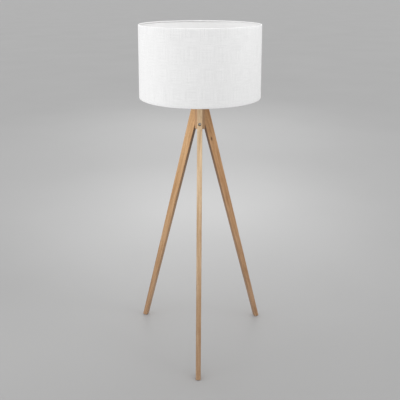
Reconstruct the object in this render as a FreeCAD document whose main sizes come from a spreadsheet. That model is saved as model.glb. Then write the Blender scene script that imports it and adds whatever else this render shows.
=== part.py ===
"""Tripod floor lamp: three tapered wooden legs on a hexagonal hub, a lampholder and a drum shade.

Millimetres.  The origin is on the floor, on the lamp's vertical axis; +Z is up and -Y is the front leg.
"""
import FreeCAD, Part
import math
import os
import re
import Sketcher

doc = FreeCAD.newDocument("tripod_floor_lamp")

# ---------------------------------------------------------------------------------------------------
# Driving dimensions.  Each one stands once in the sheet; every feature below is bound to it.
# ---------------------------------------------------------------------------------------------------
DIMENSIONS = {
    # stand
    "hub_bottom": (1053, "height of the hub's underside"),
    "hub_height": (110, "hub block, and the legs' flat upper stretch"),
    "hub_across_flats": (38, "hexagonal hub, flat to flat"),
    "leg_width": (21.5, "leg, across its parallel sides"),
    "leg_spread": (348, "leg's outer edge from the axis, at the floor"),
    "leg_foot_depth": (22, "leg, from outer to inner edge, at the floor"),
    "leg_shoulder": (61, "leg's outer edge from the axis, at the hub's underside"),
    "leg_shoulder_depth": (36.5, "leg, outer to inner edge, at the hub's underside"),
    "leg_edge_radius": (1.2, "eased long edges of the legs"),
    "overcut": (1, "how far every cut runs past the face that it enters by"),
    "hub_edge_chamfer": (0.6, "eased ends of the hub"),
    "pad_thickness": (2, "felt pad under each foot"),
    "pad_margin": (2, "pad's edge inside the foot's edge"),
    "pad_corner_radius": (2.5, "pad's round corners"),
    # leg fixings
    "bolt_height": (29, "leg bolt above the hub's underside"),
    "bolt_grip": (24, "wood between hub and counterbore"),
    "bolt_thread_diameter": (6, "M6"),
    "bolt_length": (35, "under the head"),
    "bolt_head_diameter": (11, "button head"),
    "bolt_head_height": (4, "button head"),
    "bolt_head_dome": (1.6, "height of the head's rounded rim"),
    "bolt_socket_width": (4, "hexagon socket, across flats"),
    "bolt_socket_depth": (2.4, "hexagon socket"),
    "bolt_tip_chamfer": (0.8, "bolt's end"),
    "bolt_clearance": (0.3, "radial play of the bolt in the leg"),
    "washer_diameter": (12.5, "washer under the bolt head"),
    "washer_thickness": (1.6, "washer under the bolt head"),
    "counterbore_diameter": (14, "recess for the bolt head"),
    "insert_diameter": (10, "screw-in insert, over its thread"),
    "insert_length": (11, "screw-in insert"),
    "insert_thread_depth": (0.8, "coarse wood thread of the insert"),
    "insert_thread_pitch": (2.4, "coarse wood thread of the insert"),
    "insert_turns": (4, "ridges on the insert"),
    "insert_lead": (0.6, "plain end before the insert's first ridge"),
    "insert_bore_play": (0.05, "radial play of the bolt in the insert"),
    "dowel_diameter": (8, "locating dowel"),
    "dowel_height": (82, "dowel above the hub's underside"),
    "dowel_in_hub": (11.5, "dowel's depth in the hub"),
    "dowel_in_leg": (13, "dowel's depth in the leg"),
    "dowel_chamfer": (0.8, "dowel's ends"),
    "hole_end_gap": (0.5, "space past the end of a dowel"),
    # threaded tube through the hub
    "tube_diameter": (10, "M10 x 1 threaded tube"),
    "tube_wall": (1, "threaded tube"),
    "tube_play": (0.2, "radial play of the tube in the hub"),
    "tube_above_hub": (34, "hub's top to the underside of the lampholder"),
    "tube_in_holder": (10, "tube's depth in the lampholder"),
    "tube_below_nut": (3, "tube's end past the lower nut"),
    "nut_across_flats": (14, "M10 x 1 nut"),
    "nut_height": (5, "M10 x 1 nut"),
    "nut_chamfer": (0.5, "M10 x 1 nut"),
    "nut_play": (0.02, "radial play of nuts and washers on the tube"),
    "tube_washer_diameter": (22, "washers on the tube"),
    "tube_washer_thickness": (1.5, "washers on the tube"),
    "recess_diameter": (24, "recess under the hub"),
    "recess_depth": (19, "recess under the hub"),
    "bush_flange_diameter": (29, "lead bush, over its flange"),
    "bush_flange_thickness": (2, "lead bush"),
    "bush_plug_depth": (7, "lead bush, inside the recess"),
    "bush_bore_diameter": (7, "passage for the lead"),
    "bush_mouth_radius": (1.2, "rounded mouths of the lead's passage"),
    "bush_edge_radius": (1, "rounded edge of the flange"),
    # lampholder, all heights above its underside
    "holder_neck_radius": (12, "entry boss of the cap"),
    "holder_edge_radius": (0.8, "rounded lower edge of the entry boss"),
    "holder_dome_start": (9, "height where the cap widens"),
    "holder_dome_radius": (9, "cap's shoulder, outside"),
    "holder_wall": (2, "cap and sleeve"),
    "holder_rim_height": (24, "cap's rim, where the sleeve begins"),
    "shoulder_height": (28, "top of the shoulder that carries the shade"),
    "shoulder_thickness": (3, "shoulder"),
    "shoulder_radius": (24.5, "shoulder"),
    "shoulder_chamfer": (0.6, "shoulder's lower edge"),
    "sleeve_inner_radius": (17, "inside of the sleeve"),
    "sleeve_root_radius": (19, "root of the outer thread"),
    "sleeve_thread_depth": (0.75, "outer thread"),
    "sleeve_thread_pitch": (2, "outer thread"),
    "sleeve_thread_turns": (11, "outer thread"),
    "sleeve_top_height": (56, "top of the sleeve"),
    "sleeve_edge_radius": (1, "rounded top edge of the sleeve"),
    "sleeve_lip_radius": (15.5, "opening at the sleeve's top"),
    "sleeve_lip_thickness": (1.6, "lip at the sleeve's top"),
    "core_bottom": (15, "underside of the insulating core"),
    "core_top": (27, "top of the insulating core"),
    "core_play": (0.2, "radial play of the core in the sleeve"),
    "shell_wall": (0.4, "brass screw shell"),
    "shell_flange_radius": (15.6, "foot of the screw shell"),
    "contact_leaf_radius": (5, "centre contact's seat"),
    "contact_leaf_thickness": (0.6, "centre contact's seat"),
    "contact_button_radius": (2.6, "centre contact"),
    "terminal_offset": (8, "terminal screws from the axis"),
    "terminal_head_radius": (2.6, "terminal screws"),
    "terminal_head_height": (2, "terminal screws"),
    "terminal_thread_radius": (1.5, "terminal screws"),
    "terminal_thread_length": (7, "terminal screws"),
    "grub_screw_radius": (1.5, "screw that locks the holder on the tube"),
    "grub_screw_height": (4.5, "its height in the entry boss"),
    "grub_screw_socket": (0.75, "radius of its socket"),
    "grub_screw_socket_depth": (1.8, "its socket"),
    "grub_screw_sunk": (0.2, "its end below the boss's surface"),
    # E27 screw thread
    "thread_pitch": (3.63, "E27"),
    "thread_turns": (5, "E27"),
    "cap_root_radius": (12.15, "bulb's cap, root"),
    "cap_crest_radius": (13.15, "bulb's cap, crest"),
    "thread_play": (0.3, "radial play of the cap in the shell"),
    "cap_bottom": (34, "lower edge of the bulb's cap above the holder's underside"),
    "cap_wall": (0.45, "bulb's cap at the root"),
    "cap_lip": (0.6, "bulb's cap, plain edge below its thread"),
    "cap_collar_flare": (0.6, "height of the flare from the thread to the cap's collar"),
    # bulb
    "bulb_seat": (29, "where the bulb's contact meets the holder's"),
    "bulb_length": (108, "bulb, overall"),
    "bulb_radius": (30, "globe"),
    "bulb_neck_radius": (14.2, "housing just above the cap"),
    "bulb_joint_drop": (14.06, "globe's centre above the joint of diffuser and housing"),
    "bulb_housing_wall": (1.8, "housing"),
    "housing_gap": (0.4, "housing's lower edge above the lampholder"),
    "housing_neck_height": (2, "housing's upright neck"),
    "housing_chamfer": (0.6, "housing's lower edge"),
    "bulb_diffuser_wall": (1.2, "diffuser"),
    "bulb_contact_radius": (4.5, "bulb's contact"),
    "bulb_contact_height": (1.2, "bulb's contact"),
    "bulb_contact_edge": (0.6, "rounded edge of the bulb's contact"),
    "insulator_flat": (1.5, "flat of the black insulator round the contact"),
    "insulator_height": (2, "black insulator inside the cap"),
    "bulb_plug_depth": (8, "housing's spigot inside the cap"),
    "board_thickness": (1.6, "circuit boards"),
    "led_board_gap": (0.4, "led board's rim to the housing"),
    "led_size": (3, "square led chip"),
    "led_height": (0.7, "led chip"),
    "led_circle": (16, "led chips' distance from the axis"),
    "led_count": (8, "led chips"),
    "driver_width": (16, "driver board"),
    "driver_height": (24, "driver board"),
    "driver_gap": (2.5, "driver board's top to the led board"),
    # shade
    "shade_diameter": (508, "drum at its lower edge, outside"),
    "shade_top_diameter": (495, "drum at its upper edge, outside"),
    "shade_height": (290, "drum"),
    "fabric_thickness": (0.4, "shade fabric"),
    "liner_thickness": (0.5, "stiff liner behind the fabric"),
    "ring_wire_radius": (1.5, "wire rings in the rolled edges"),
    "roll_turn": (250, "how far the fabric wraps round the wire, in degrees"),
    "fitter_recess": (35, "carrier's underside above the shade's lower edge"),
    "carrier_inner_radius": (20.4, "carrier ring's opening"),
    "carrier_outer_radius": (32, "carrier ring"),
    "carrier_thickness": (2, "carrier ring, one thread pitch"),
    "arm_radius": (1.5, "spider's wires"),
    "arm_start": (27.5, "inner end of a wire from the axis"),
    "arm_knee": (40, "where a wire turns down"),
    "arm_bend_radius": (14, "bend of the wire's middle line"),
    "arm_weld_depth": (0.3, "wire's end into the ring's wire"),
    "notch_gap": (0.5, "rolled edge, notched clear of each arm"),
    "retainer_radius": (26, "retaining ring"),
    "retainer_height": (8, "retaining ring"),
    "retainer_turns": (3, "retaining ring's thread"),
    "retainer_play": (0.25, "radial play of the retaining ring"),
    "retainer_flutes": (24, "finger grip"),
    "retainer_flute_radius": (1.1, "finger grip"),
    "retainer_bevel": (0.8, "finger grip's edges"),
}

# Sizes and places worked out from the driving dimensions.
WORKED_OUT = {
    "hub_top": "hub_bottom + hub_height",
    "hub_apothem": "hub_across_flats / 2",
    "hub_corner": "hub_across_flats / sqrt(3)",
    "leg_outer_slope": "(leg_spread - leg_shoulder) / hub_bottom",
    "leg_inner_foot": "leg_spread - leg_foot_depth",
    "leg_inner_shoulder": "leg_shoulder - leg_shoulder_depth",
    "leg_inner_slope": "(leg_inner_foot - leg_inner_shoulder) / hub_bottom",
    "leg_fork_height": "hub_bottom + (leg_inner_shoulder - hub_apothem) / leg_inner_slope",
    "leg_top_radius": "leg_shoulder - leg_outer_slope * hub_height",
    "foot_middle": "leg_spread - leg_foot_depth / 2 - leg_outer_slope * pad_thickness",
    "bolt_axis": "hub_bottom + bolt_height",
    "bolt_seat": "hub_apothem + bolt_grip",
    "bolt_under_head": "bolt_seat + washer_thickness",
    "dowel_axis": "hub_bottom + dowel_height",
    "insert_inner_end": "hub_apothem - insert_length",
    "tube_radius": "tube_diameter / 2",
    "tube_bore_radius": "tube_radius - tube_wall",
    "recess_top": "hub_bottom + recess_depth",
    "lower_nut_top": "recess_top - tube_washer_thickness",
    "tube_bottom": "lower_nut_top - nut_height - tube_below_nut",
    "upper_nut_bottom": "hub_top + tube_washer_thickness",
    "holder_base": "hub_top + tube_above_hub",
    "shoulder_top": "holder_base + shoulder_height",
    "retainer_bottom": "shoulder_top + carrier_thickness",
    "sleeve_top": "holder_base + sleeve_top_height",
    "shade_bottom": "shoulder_top - fitter_recess",
    "shade_top": "shade_bottom + shade_height",
    "roll_radius": "ring_wire_radius + liner_thickness + fabric_thickness",
    "roll_inner_radius": "roll_radius - fabric_thickness",
    "upper_ring_radius": "shade_top_diameter / 2 - roll_radius",
    "lower_ring_radius": "shade_diameter / 2 - roll_radius",
    "upper_ring_height": "shade_top - roll_radius",
    "lower_ring_height": "shade_bottom + roll_radius",
    "thread_start": "holder_base + cap_bottom + cap_lip",
    "thread_top": "thread_start + thread_pitch * thread_turns",
    "bulb_bottom": "holder_base + bulb_seat",
    "bulb_globe": "bulb_bottom + bulb_length - bulb_radius",
    "bulb_joint": "bulb_globe - bulb_joint_drop",
    "bulb_joint_radius": "sqrt(bulb_radius^2 - bulb_joint_drop^2)",
    "cap_inner_radius": "cap_root_radius - cap_wall",
    "housing_bottom": "sleeve_top + housing_gap",
}


def formula(text):
    """Write a size in plain names as the expression that the sheet understands."""
    def replace(match):
        name = match.group(0)
        if name in DIMENSIONS:
            return "Sizes." + name
        if name in WORKED_OUT:
            return "(" + formula(WORKED_OUT[name]) + ")"
        return name
    return re.sub(r"[a-z_][a-z_0-9]*", replace, str(text))


def value(text):
    """The present value of a size, in millimetres or degrees."""
    result = sheet.evalExpression(formula(text))
    return float(getattr(result, "Value", result))


def bind(thing, prop, text):
    thing.setExpression(prop, formula(text))


sheet = doc.addObject("Spreadsheet::Sheet", "Sizes")
for row, (name, (size, meaning)) in enumerate(DIMENSIONS.items(), start=1):
    sheet.set(f"A{row}", name)
    sheet.set(f"B{row}", str(size))
    sheet.set(f"C{row}", meaning)
    sheet.setAlias(f"B{row}", name)
doc.recompute()

SUB_PARTS = []
FULL_TURN = 360


def sub_part(label, turn=None):
    """A body of its own, turned about the lamp's axis where turn is given in degrees."""
    body = doc.addObject("PartDesign::Body", label)
    body.Label = label
    if turn is not None:
        body.Placement.Rotation = FreeCAD.Rotation(FreeCAD.Vector(0, 0, 1), turn)
    SUB_PARTS.append(body)
    return body


def origin_feature(body, role):
    return [f for f in body.Origin.OriginFeatures if f.Role == role][0]


def new_sketch(body, name, plane, shift=()):
    """Sketch on one of the body's own planes; shift is its offset along the sketch's own axes."""
    sketch = body.newObject("Sketcher::SketchObject", name)
    sketch.AttachmentSupport = [(origin_feature(body, plane), "")]
    sketch.MapMode = "FlatFace"
    for axis, text in zip("xyz", shift):
        bind(sketch, "AttachmentOffset.Base." + axis, text)
    return sketch


def pin_point(sketch, geometry, point, across, up):
    """Hold a point of the sketch at its two bound coordinates."""
    for kind, text in (("DistanceX", across), ("DistanceY", up)):
        constraint = Sketcher.Constraint(kind, geometry, point, value(text))
        index = sketch.addConstraint(constraint)
        bind(sketch, f"Constraints[{index}]", text)


def draw_outline(sketch, corners):
    """Closed outline.  A corner is (across, up) for a straight edge that leads to it, or
    (across, up, centre_across, centre_up, sense) for an arc that leads to it, sense +1 anticlockwise."""
    first = len(sketch.Geometry)
    count = len(corners)
    ends = []
    for i, corner in enumerate(corners):
        start = FreeCAD.Vector(value(corners[i - 1][0]), value(corners[i - 1][1]), 0)
        end = FreeCAD.Vector(value(corner[0]), value(corner[1]), 0)
        if len(corner) == 2:
            sketch.addGeometry(Part.LineSegment(start, end), False)
            ends.append((1, 2))
            continue
        centre = FreeCAD.Vector(value(corner[2]), value(corner[3]), 0)
        low, high = (start, end) if corner[4] > 0 else (end, start)
        angles = [math.atan2(p.y - centre.y, p.x - centre.x) for p in (low, high)]
        circle = Part.Circle(centre, FreeCAD.Vector(0, 0, 1), (start - centre).Length)
        sketch.addGeometry(Part.ArcOfCircle(circle, angles[0], angles[1]), False)
        ends.append((1, 2) if corner[4] > 0 else (2, 1))
    for i in range(count):
        after = (i + 1) % count
        joint = Sketcher.Constraint("Coincident", first + i, ends[i][1], first + after, ends[after][0])
        sketch.addConstraint(joint)
    for i, corner in enumerate(corners):
        pin_point(sketch, first + i, ends[i][1], corner[0], corner[1])
        if len(corner) == 5:
            chord_across = abs(value(corner[0]) - value(corners[i - 1][0]))
            chord_up = abs(value(corner[1]) - value(corners[i - 1][1]))
            kind, text = ("DistanceX", corner[2]) if chord_up > chord_across else ("DistanceY", corner[3])
            constraint = Sketcher.Constraint(kind, first + i, 3, value(text))
            index = sketch.addConstraint(constraint)
            bind(sketch, f"Constraints[{index}]", text)


def draw_circle(sketch, radius, across="0", up="0"):
    circle = Part.Circle(FreeCAD.Vector(value(across), value(up), 0), FreeCAD.Vector(0, 0, 1), value(radius))
    geometry = sketch.addGeometry(circle, False)
    pin_point(sketch, geometry, 3, across, up)
    index = sketch.addConstraint(Sketcher.Constraint("Radius", geometry, value(radius)))
    bind(sketch, f"Constraints[{index}]", radius)


def rectangle(left, bottom, right, top):
    return [(left, bottom), (right, bottom), (right, top), (left, top)]


def hexagon(across_flats):
    """Corners of a hexagon that has one flat facing along the sketch's first axis."""
    corner = f"({across_flats}) / sqrt(3)"
    flat = f"({across_flats}) / 2"
    return [("0", corner), (f"-{flat}", f"{corner} / 2"), (f"-{flat}", f"-{corner} / 2"),
            ("0", f"-{corner}"), (flat, f"-{corner} / 2"), (flat, f"{corner} / 2")]


def thread_ridges(root, crest, start, pitch, turns):
    """Outline points of a screw thread's section, from its lowest turn upwards."""
    points = []
    for turn in range(int(value(turns))):
        for radius, quarter in ((root, 0), (crest, 1), (crest, 2), (root, 3)):
            points.append((radius, f"{start} + {pitch} * {turn + quarter / 4}"))
    return points


def revolve(body, outline, plane="XZ_Plane", name="Turned", kind="PartDesign::Revolution"):
    """Turn an outline about the body's vertical axis; its seam lies in the sketch's plane."""
    sketch = new_sketch(body, name + "Profile", plane)
    draw_outline(sketch, outline)
    feature = body.newObject(kind, name)
    feature.Profile = sketch
    feature.ReferenceAxis = (origin_feature(body, "Z_Axis"), [""])
    feature.Angle = FULL_TURN
    return feature


def pad(body, sketch, length, symmetric=False, name="Pad"):
    feature = body.newObject("PartDesign::Pad", name)
    feature.Profile = sketch
    if symmetric:
        feature.SideType = "Symmetric"
    bind(feature, "Length", length)
    return feature


def pocket(body, sketch, length, symmetric=False, name="Pocket"):
    """Cut along the sketch's normal, or evenly to both sides of the sketch."""
    feature = body.newObject("PartDesign::Pocket", name)
    feature.Profile = sketch
    feature.Reversed = not symmetric
    if symmetric:
        feature.SideType = "Symmetric"
    bind(feature, "Length", length)
    return feature


def radial_turning(body, outline, height, name, kind="PartDesign::Revolution"):
    """Turn an outline about the level axis that points outwards at the given height."""
    sketch = new_sketch(body, name, "XZ_Plane", ("0", height))
    draw_outline(sketch, outline)
    feature = body.newObject(kind, name + "Turned")
    feature.Profile = sketch
    feature.ReferenceAxis = (sketch, ["H_Axis"])
    feature.Angle = FULL_TURN
    return feature


def repeat_round(body, features, count):
    """Repeat features about the lamp's axis; the pattern becomes the body's result."""
    pattern = body.newObject("PartDesign::PolarPattern", "Round")
    pattern.Originals = features
    pattern.Axis = (origin_feature(body, "Z_Axis"), [""])
    pattern.Angle = FULL_TURN
    bind(pattern, "Occurrences", count)
    body.Tip = pattern
    return pattern


# ---------------------------------------------------------------------------------------------------
# Stand
# ---------------------------------------------------------------------------------------------------
LEG_AZIMUTHS = {"front": -90, "rear_right": 30, "rear_left": 150}
LEG_COUNT = "3"


def leg_line(edge, height):
    """Distance from the axis of a leg's outer or inner edge at a height."""
    foot = {"outer": "leg_spread", "inner": "leg_inner_foot"}[edge]
    return f"{foot} - leg_{edge}_slope * ({height})"


def make_leg(label, azimuth):
    """Tapered leg: cut level on its pad, with an upright face against the hub."""
    body = sub_part(label, azimuth)
    side = new_sketch(body, "Side", "XZ_Plane")
    draw_outline(side, [
        (leg_line("inner", "pad_thickness"), "pad_thickness"),
        (leg_line("outer", "pad_thickness"), "pad_thickness"),
        ("leg_top_radius", "hub_top"),
        ("hub_apothem", "hub_top"),
        ("hub_apothem", "leg_fork_height"),
    ])
    blank = pad(body, side, "leg_width", symmetric=True, name="Blank")
    doc.recompute()

    longest = max(edge.Length for edge in blank.Shape.Edges)
    long_edges = []
    for number, edge in enumerate(blank.Shape.Edges, start=1):
        if edge.Length > longest / 2:
            long_edges.append(f"Edge{number}")
    eased = body.newObject("PartDesign::Fillet", "EasedEdges")
    eased.Base = (blank, long_edges)
    bind(eased, "Radius", "leg_edge_radius")

    hole_radius = "bolt_thread_diameter / 2 + bolt_clearance"
    radial_turning(body, [
        ("hub_apothem - overcut", "0"),
        ("leg_shoulder", "0"),
        ("leg_shoulder", "counterbore_diameter / 2"),
        ("bolt_seat", "counterbore_diameter / 2"),
        ("bolt_seat", hole_radius),
        ("hub_apothem - overcut", hole_radius),
    ], "bolt_axis", "BoltHole", "PartDesign::Groove")
    radial_turning(body, rectangle(
        "hub_apothem - overcut", "0",
        "hub_apothem + dowel_in_leg + hole_end_gap", "dowel_diameter / 2",
    ), "dowel_axis", "DowelHole", "PartDesign::Groove")


def make_foot_pad(label, azimuth):
    """Felt pad with round corners, a little inside the foot's outline."""
    body = sub_part(label, azimuth)
    half_depth = "(leg_foot_depth / 2 - pad_margin)"
    half_width = "(leg_width / 2 - pad_margin)"
    corner = "pad_corner_radius"
    outline = []
    for across, up, enters_level in ((1, -1, True), (1, 1, False), (-1, 1, True), (-1, -1, False)):
        edge_x = f"foot_middle + {across} * {half_depth}"
        edge_y = f"{up} * {half_width}"
        centre_x = f"foot_middle + {across} * ({half_depth} - {corner})"
        centre_y = f"{up} * ({half_width} - {corner})"
        before, after = (centre_x, edge_y), (edge_x, centre_y)
        if not enters_level:
            before, after = after, before
        outline.append(before)
        outline.append((*after, centre_x, centre_y, 1))
    sketch = new_sketch(body, "Outline", "XY_Plane")
    draw_outline(sketch, outline)
    pad(body, sketch, "pad_thickness")


def make_hub():
    """Hexagonal block: bored for the tube, recessed below, drilled for inserts and dowels."""
    body = sub_part("hub_block", LEG_AZIMUTHS["rear_right"])
    section = new_sketch(body, "Section", "XY_Plane", ("0", "0", "hub_bottom"))
    draw_outline(section, hexagon("hub_across_flats"))
    blank = pad(body, section, "hub_height", name="Blank")
    doc.recompute()
    end_faces = []
    for number, face in enumerate(blank.Shape.Faces, start=1):
        if round(abs(face.normalAt(0, 0).z)) == 1:
            end_faces.append(f"Face{number}")
    eased = body.newObject("PartDesign::Chamfer", "EasedEnds")
    eased.Base = (blank, end_faces)
    bind(eased, "Size", "hub_edge_chamfer")

    bore_radius = "tube_radius + tube_play"
    revolve(body, [
        ("0", "hub_bottom - overcut"),
        ("recess_diameter / 2", "hub_bottom - overcut"),
        ("recess_diameter / 2", "recess_top"),
        (bore_radius, "recess_top"),
        (bore_radius, "hub_top + overcut"),
        ("0", "hub_top + overcut"),
    ], name="Bore", kind="PartDesign::Groove")

    outside = "hub_apothem + overcut"
    drilled = [
        radial_turning(body, rectangle("insert_inner_end", "0", outside, "insert_diameter / 2"),
                       "bolt_axis", "InsertHole", "PartDesign::Groove"),
        radial_turning(body, rectangle("hub_apothem - dowel_in_hub - hole_end_gap", "0",
                                       outside, "dowel_diameter / 2"),
                       "dowel_axis", "DowelHole", "PartDesign::Groove"),
    ]
    repeat_round(body, drilled, LEG_COUNT)


def make_leg_fixings():
    """Bolts, washers, inserts and dowels: three of each, one set for every leg."""
    turn = LEG_AZIMUTHS["rear_right"]
    thread = "bolt_thread_diameter / 2"
    head = "bolt_head_diameter / 2"
    head_end = "bolt_under_head + bolt_head_height"

    bolts = sub_part("leg_bolts", turn)
    bolt = radial_turning(bolts, [
        ("bolt_under_head - bolt_length", "0"),
        (head_end, "0"),
        (head_end, f"{head} - bolt_head_dome"),
        (f"{head_end} - bolt_head_dome", head, f"{head_end} - bolt_head_dome",
         f"{head} - bolt_head_dome", 1),
        ("bolt_under_head", head),
        ("bolt_under_head", thread),
        ("bolt_under_head - bolt_length + bolt_tip_chamfer", thread),
        ("bolt_under_head - bolt_length", f"{thread} - bolt_tip_chamfer"),
    ], "bolt_axis", "Bolt")
    socket = new_sketch(bolts, "Socket", "YZ_Plane", ("0", "bolt_axis", f"{head_end} - bolt_socket_depth"))
    draw_outline(socket, hexagon("bolt_socket_width"))
    socket_cut = pocket(bolts, socket, "bolt_socket_depth + overcut", name="SocketCut")
    repeat_round(bolts, [bolt, socket_cut], LEG_COUNT)

    washers = sub_part("leg_bolt_washers", turn)
    washer = radial_turning(washers, rectangle(
        "bolt_seat", f"{thread} + bolt_clearance", "bolt_under_head", "washer_diameter / 2",
    ), "bolt_axis", "Washer")
    repeat_round(washers, [washer], LEG_COUNT)

    inserts = sub_part("threaded_inserts", turn)
    crest = "insert_diameter / 2"
    root = f"{crest} - insert_thread_depth"
    ridges = thread_ridges(root, crest, "insert_inner_end + insert_lead",
                           "insert_thread_pitch", "insert_turns")
    insert = radial_turning(inserts, [
        ("hub_apothem", root),
        ("hub_apothem", f"{thread} + insert_bore_play"),
        ("insert_inner_end", f"{thread} + insert_bore_play"),
        ("insert_inner_end", root),
    ] + [(along, radius) for radius, along in ridges], "bolt_axis", "Insert")
    repeat_round(inserts, [insert], LEG_COUNT)

    dowels = sub_part("locating_dowels", turn)
    dowel_radius = "dowel_diameter / 2"
    inner = "hub_apothem - dowel_in_hub"
    outer = "hub_apothem + dowel_in_leg"
    dowel = radial_turning(dowels, [
        (inner, "0"),
        (outer, "0"),
        (outer, f"{dowel_radius} - dowel_chamfer"),
        (f"{outer} - dowel_chamfer", dowel_radius),
        (f"{inner} + dowel_chamfer", dowel_radius),
        (inner, f"{dowel_radius} - dowel_chamfer"),
    ], "dowel_axis", "Dowel")
    repeat_round(dowels, [dowel], LEG_COUNT)


# ---------------------------------------------------------------------------------------------------
# Threaded tube, its nuts and washers, and the bush that the lead leaves by
# ---------------------------------------------------------------------------------------------------
def make_stem():
    revolve(sub_part("stem_tube"), rectangle(
        "tube_bore_radius", "tube_bottom", "tube_radius", "holder_base + tube_in_holder"))
    inside = "tube_radius + nut_play"
    for label, bottom in (("stem_lower_washer", "lower_nut_top"), ("stem_upper_washer", "hub_top")):
        revolve(sub_part(label), rectangle(
            inside, bottom, "tube_washer_diameter / 2", f"{bottom} + tube_washer_thickness"))
    for label, bottom in (("stem_lower_nut", "lower_nut_top - nut_height"),
                          ("stem_upper_nut", "upper_nut_bottom")):
        body = sub_part(label)
        section = new_sketch(body, "Section", "XY_Plane", ("0", "0", bottom))
        draw_outline(section, hexagon("nut_across_flats"))
        draw_circle(section, inside)
        pad(body, section, "nut_height", name="Blank")
        corner = "nut_across_flats / sqrt(3)"
        for name, end, sense in (("LowerBevel", bottom, 1), ("UpperBevel", f"{bottom} + nut_height", -1)):
            revolve(body, [
                (f"{corner} - 2 * nut_chamfer", end),
                (f"{corner} + overcut", end),
                (f"{corner} + overcut", f"{end} + {sense} * (nut_chamfer + overcut / 2)"),
            ], name=name, kind="PartDesign::Groove")


def make_lead_bush():
    """Flanged plastic bush; both mouths of its bore are rounded so that the lead isn't chafed."""
    bore = "bush_bore_diameter / 2"
    mouth = "bush_mouth_radius"
    flange_bottom = "hub_bottom - bush_flange_thickness"
    plug_top = "hub_bottom + bush_plug_depth"
    rim = "bush_flange_diameter / 2"
    edge = "bush_edge_radius"
    revolve(sub_part("lead_bush"), [
        (bore, f"{flange_bottom} + {mouth}"),
        (f"{bore} + {mouth}", flange_bottom, f"{bore} + {mouth}", f"{flange_bottom} + {mouth}", 1),
        (f"{rim} - {edge}", flange_bottom),
        (rim, f"{flange_bottom} + {edge}", f"{rim} - {edge}", f"{flange_bottom} + {edge}", 1),
        (rim, "hub_bottom"),
        ("recess_diameter / 2", "hub_bottom"),
        ("recess_diameter / 2", plug_top),
        (f"{bore} + {mouth}", plug_top),
        (bore, f"{plug_top} - {mouth}", f"{bore} + {mouth}", f"{plug_top} - {mouth}", 1),
    ])


# ---------------------------------------------------------------------------------------------------
# Lampholder
# ---------------------------------------------------------------------------------------------------
def above_base(height):
    return f"(holder_base + {height})"


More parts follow.
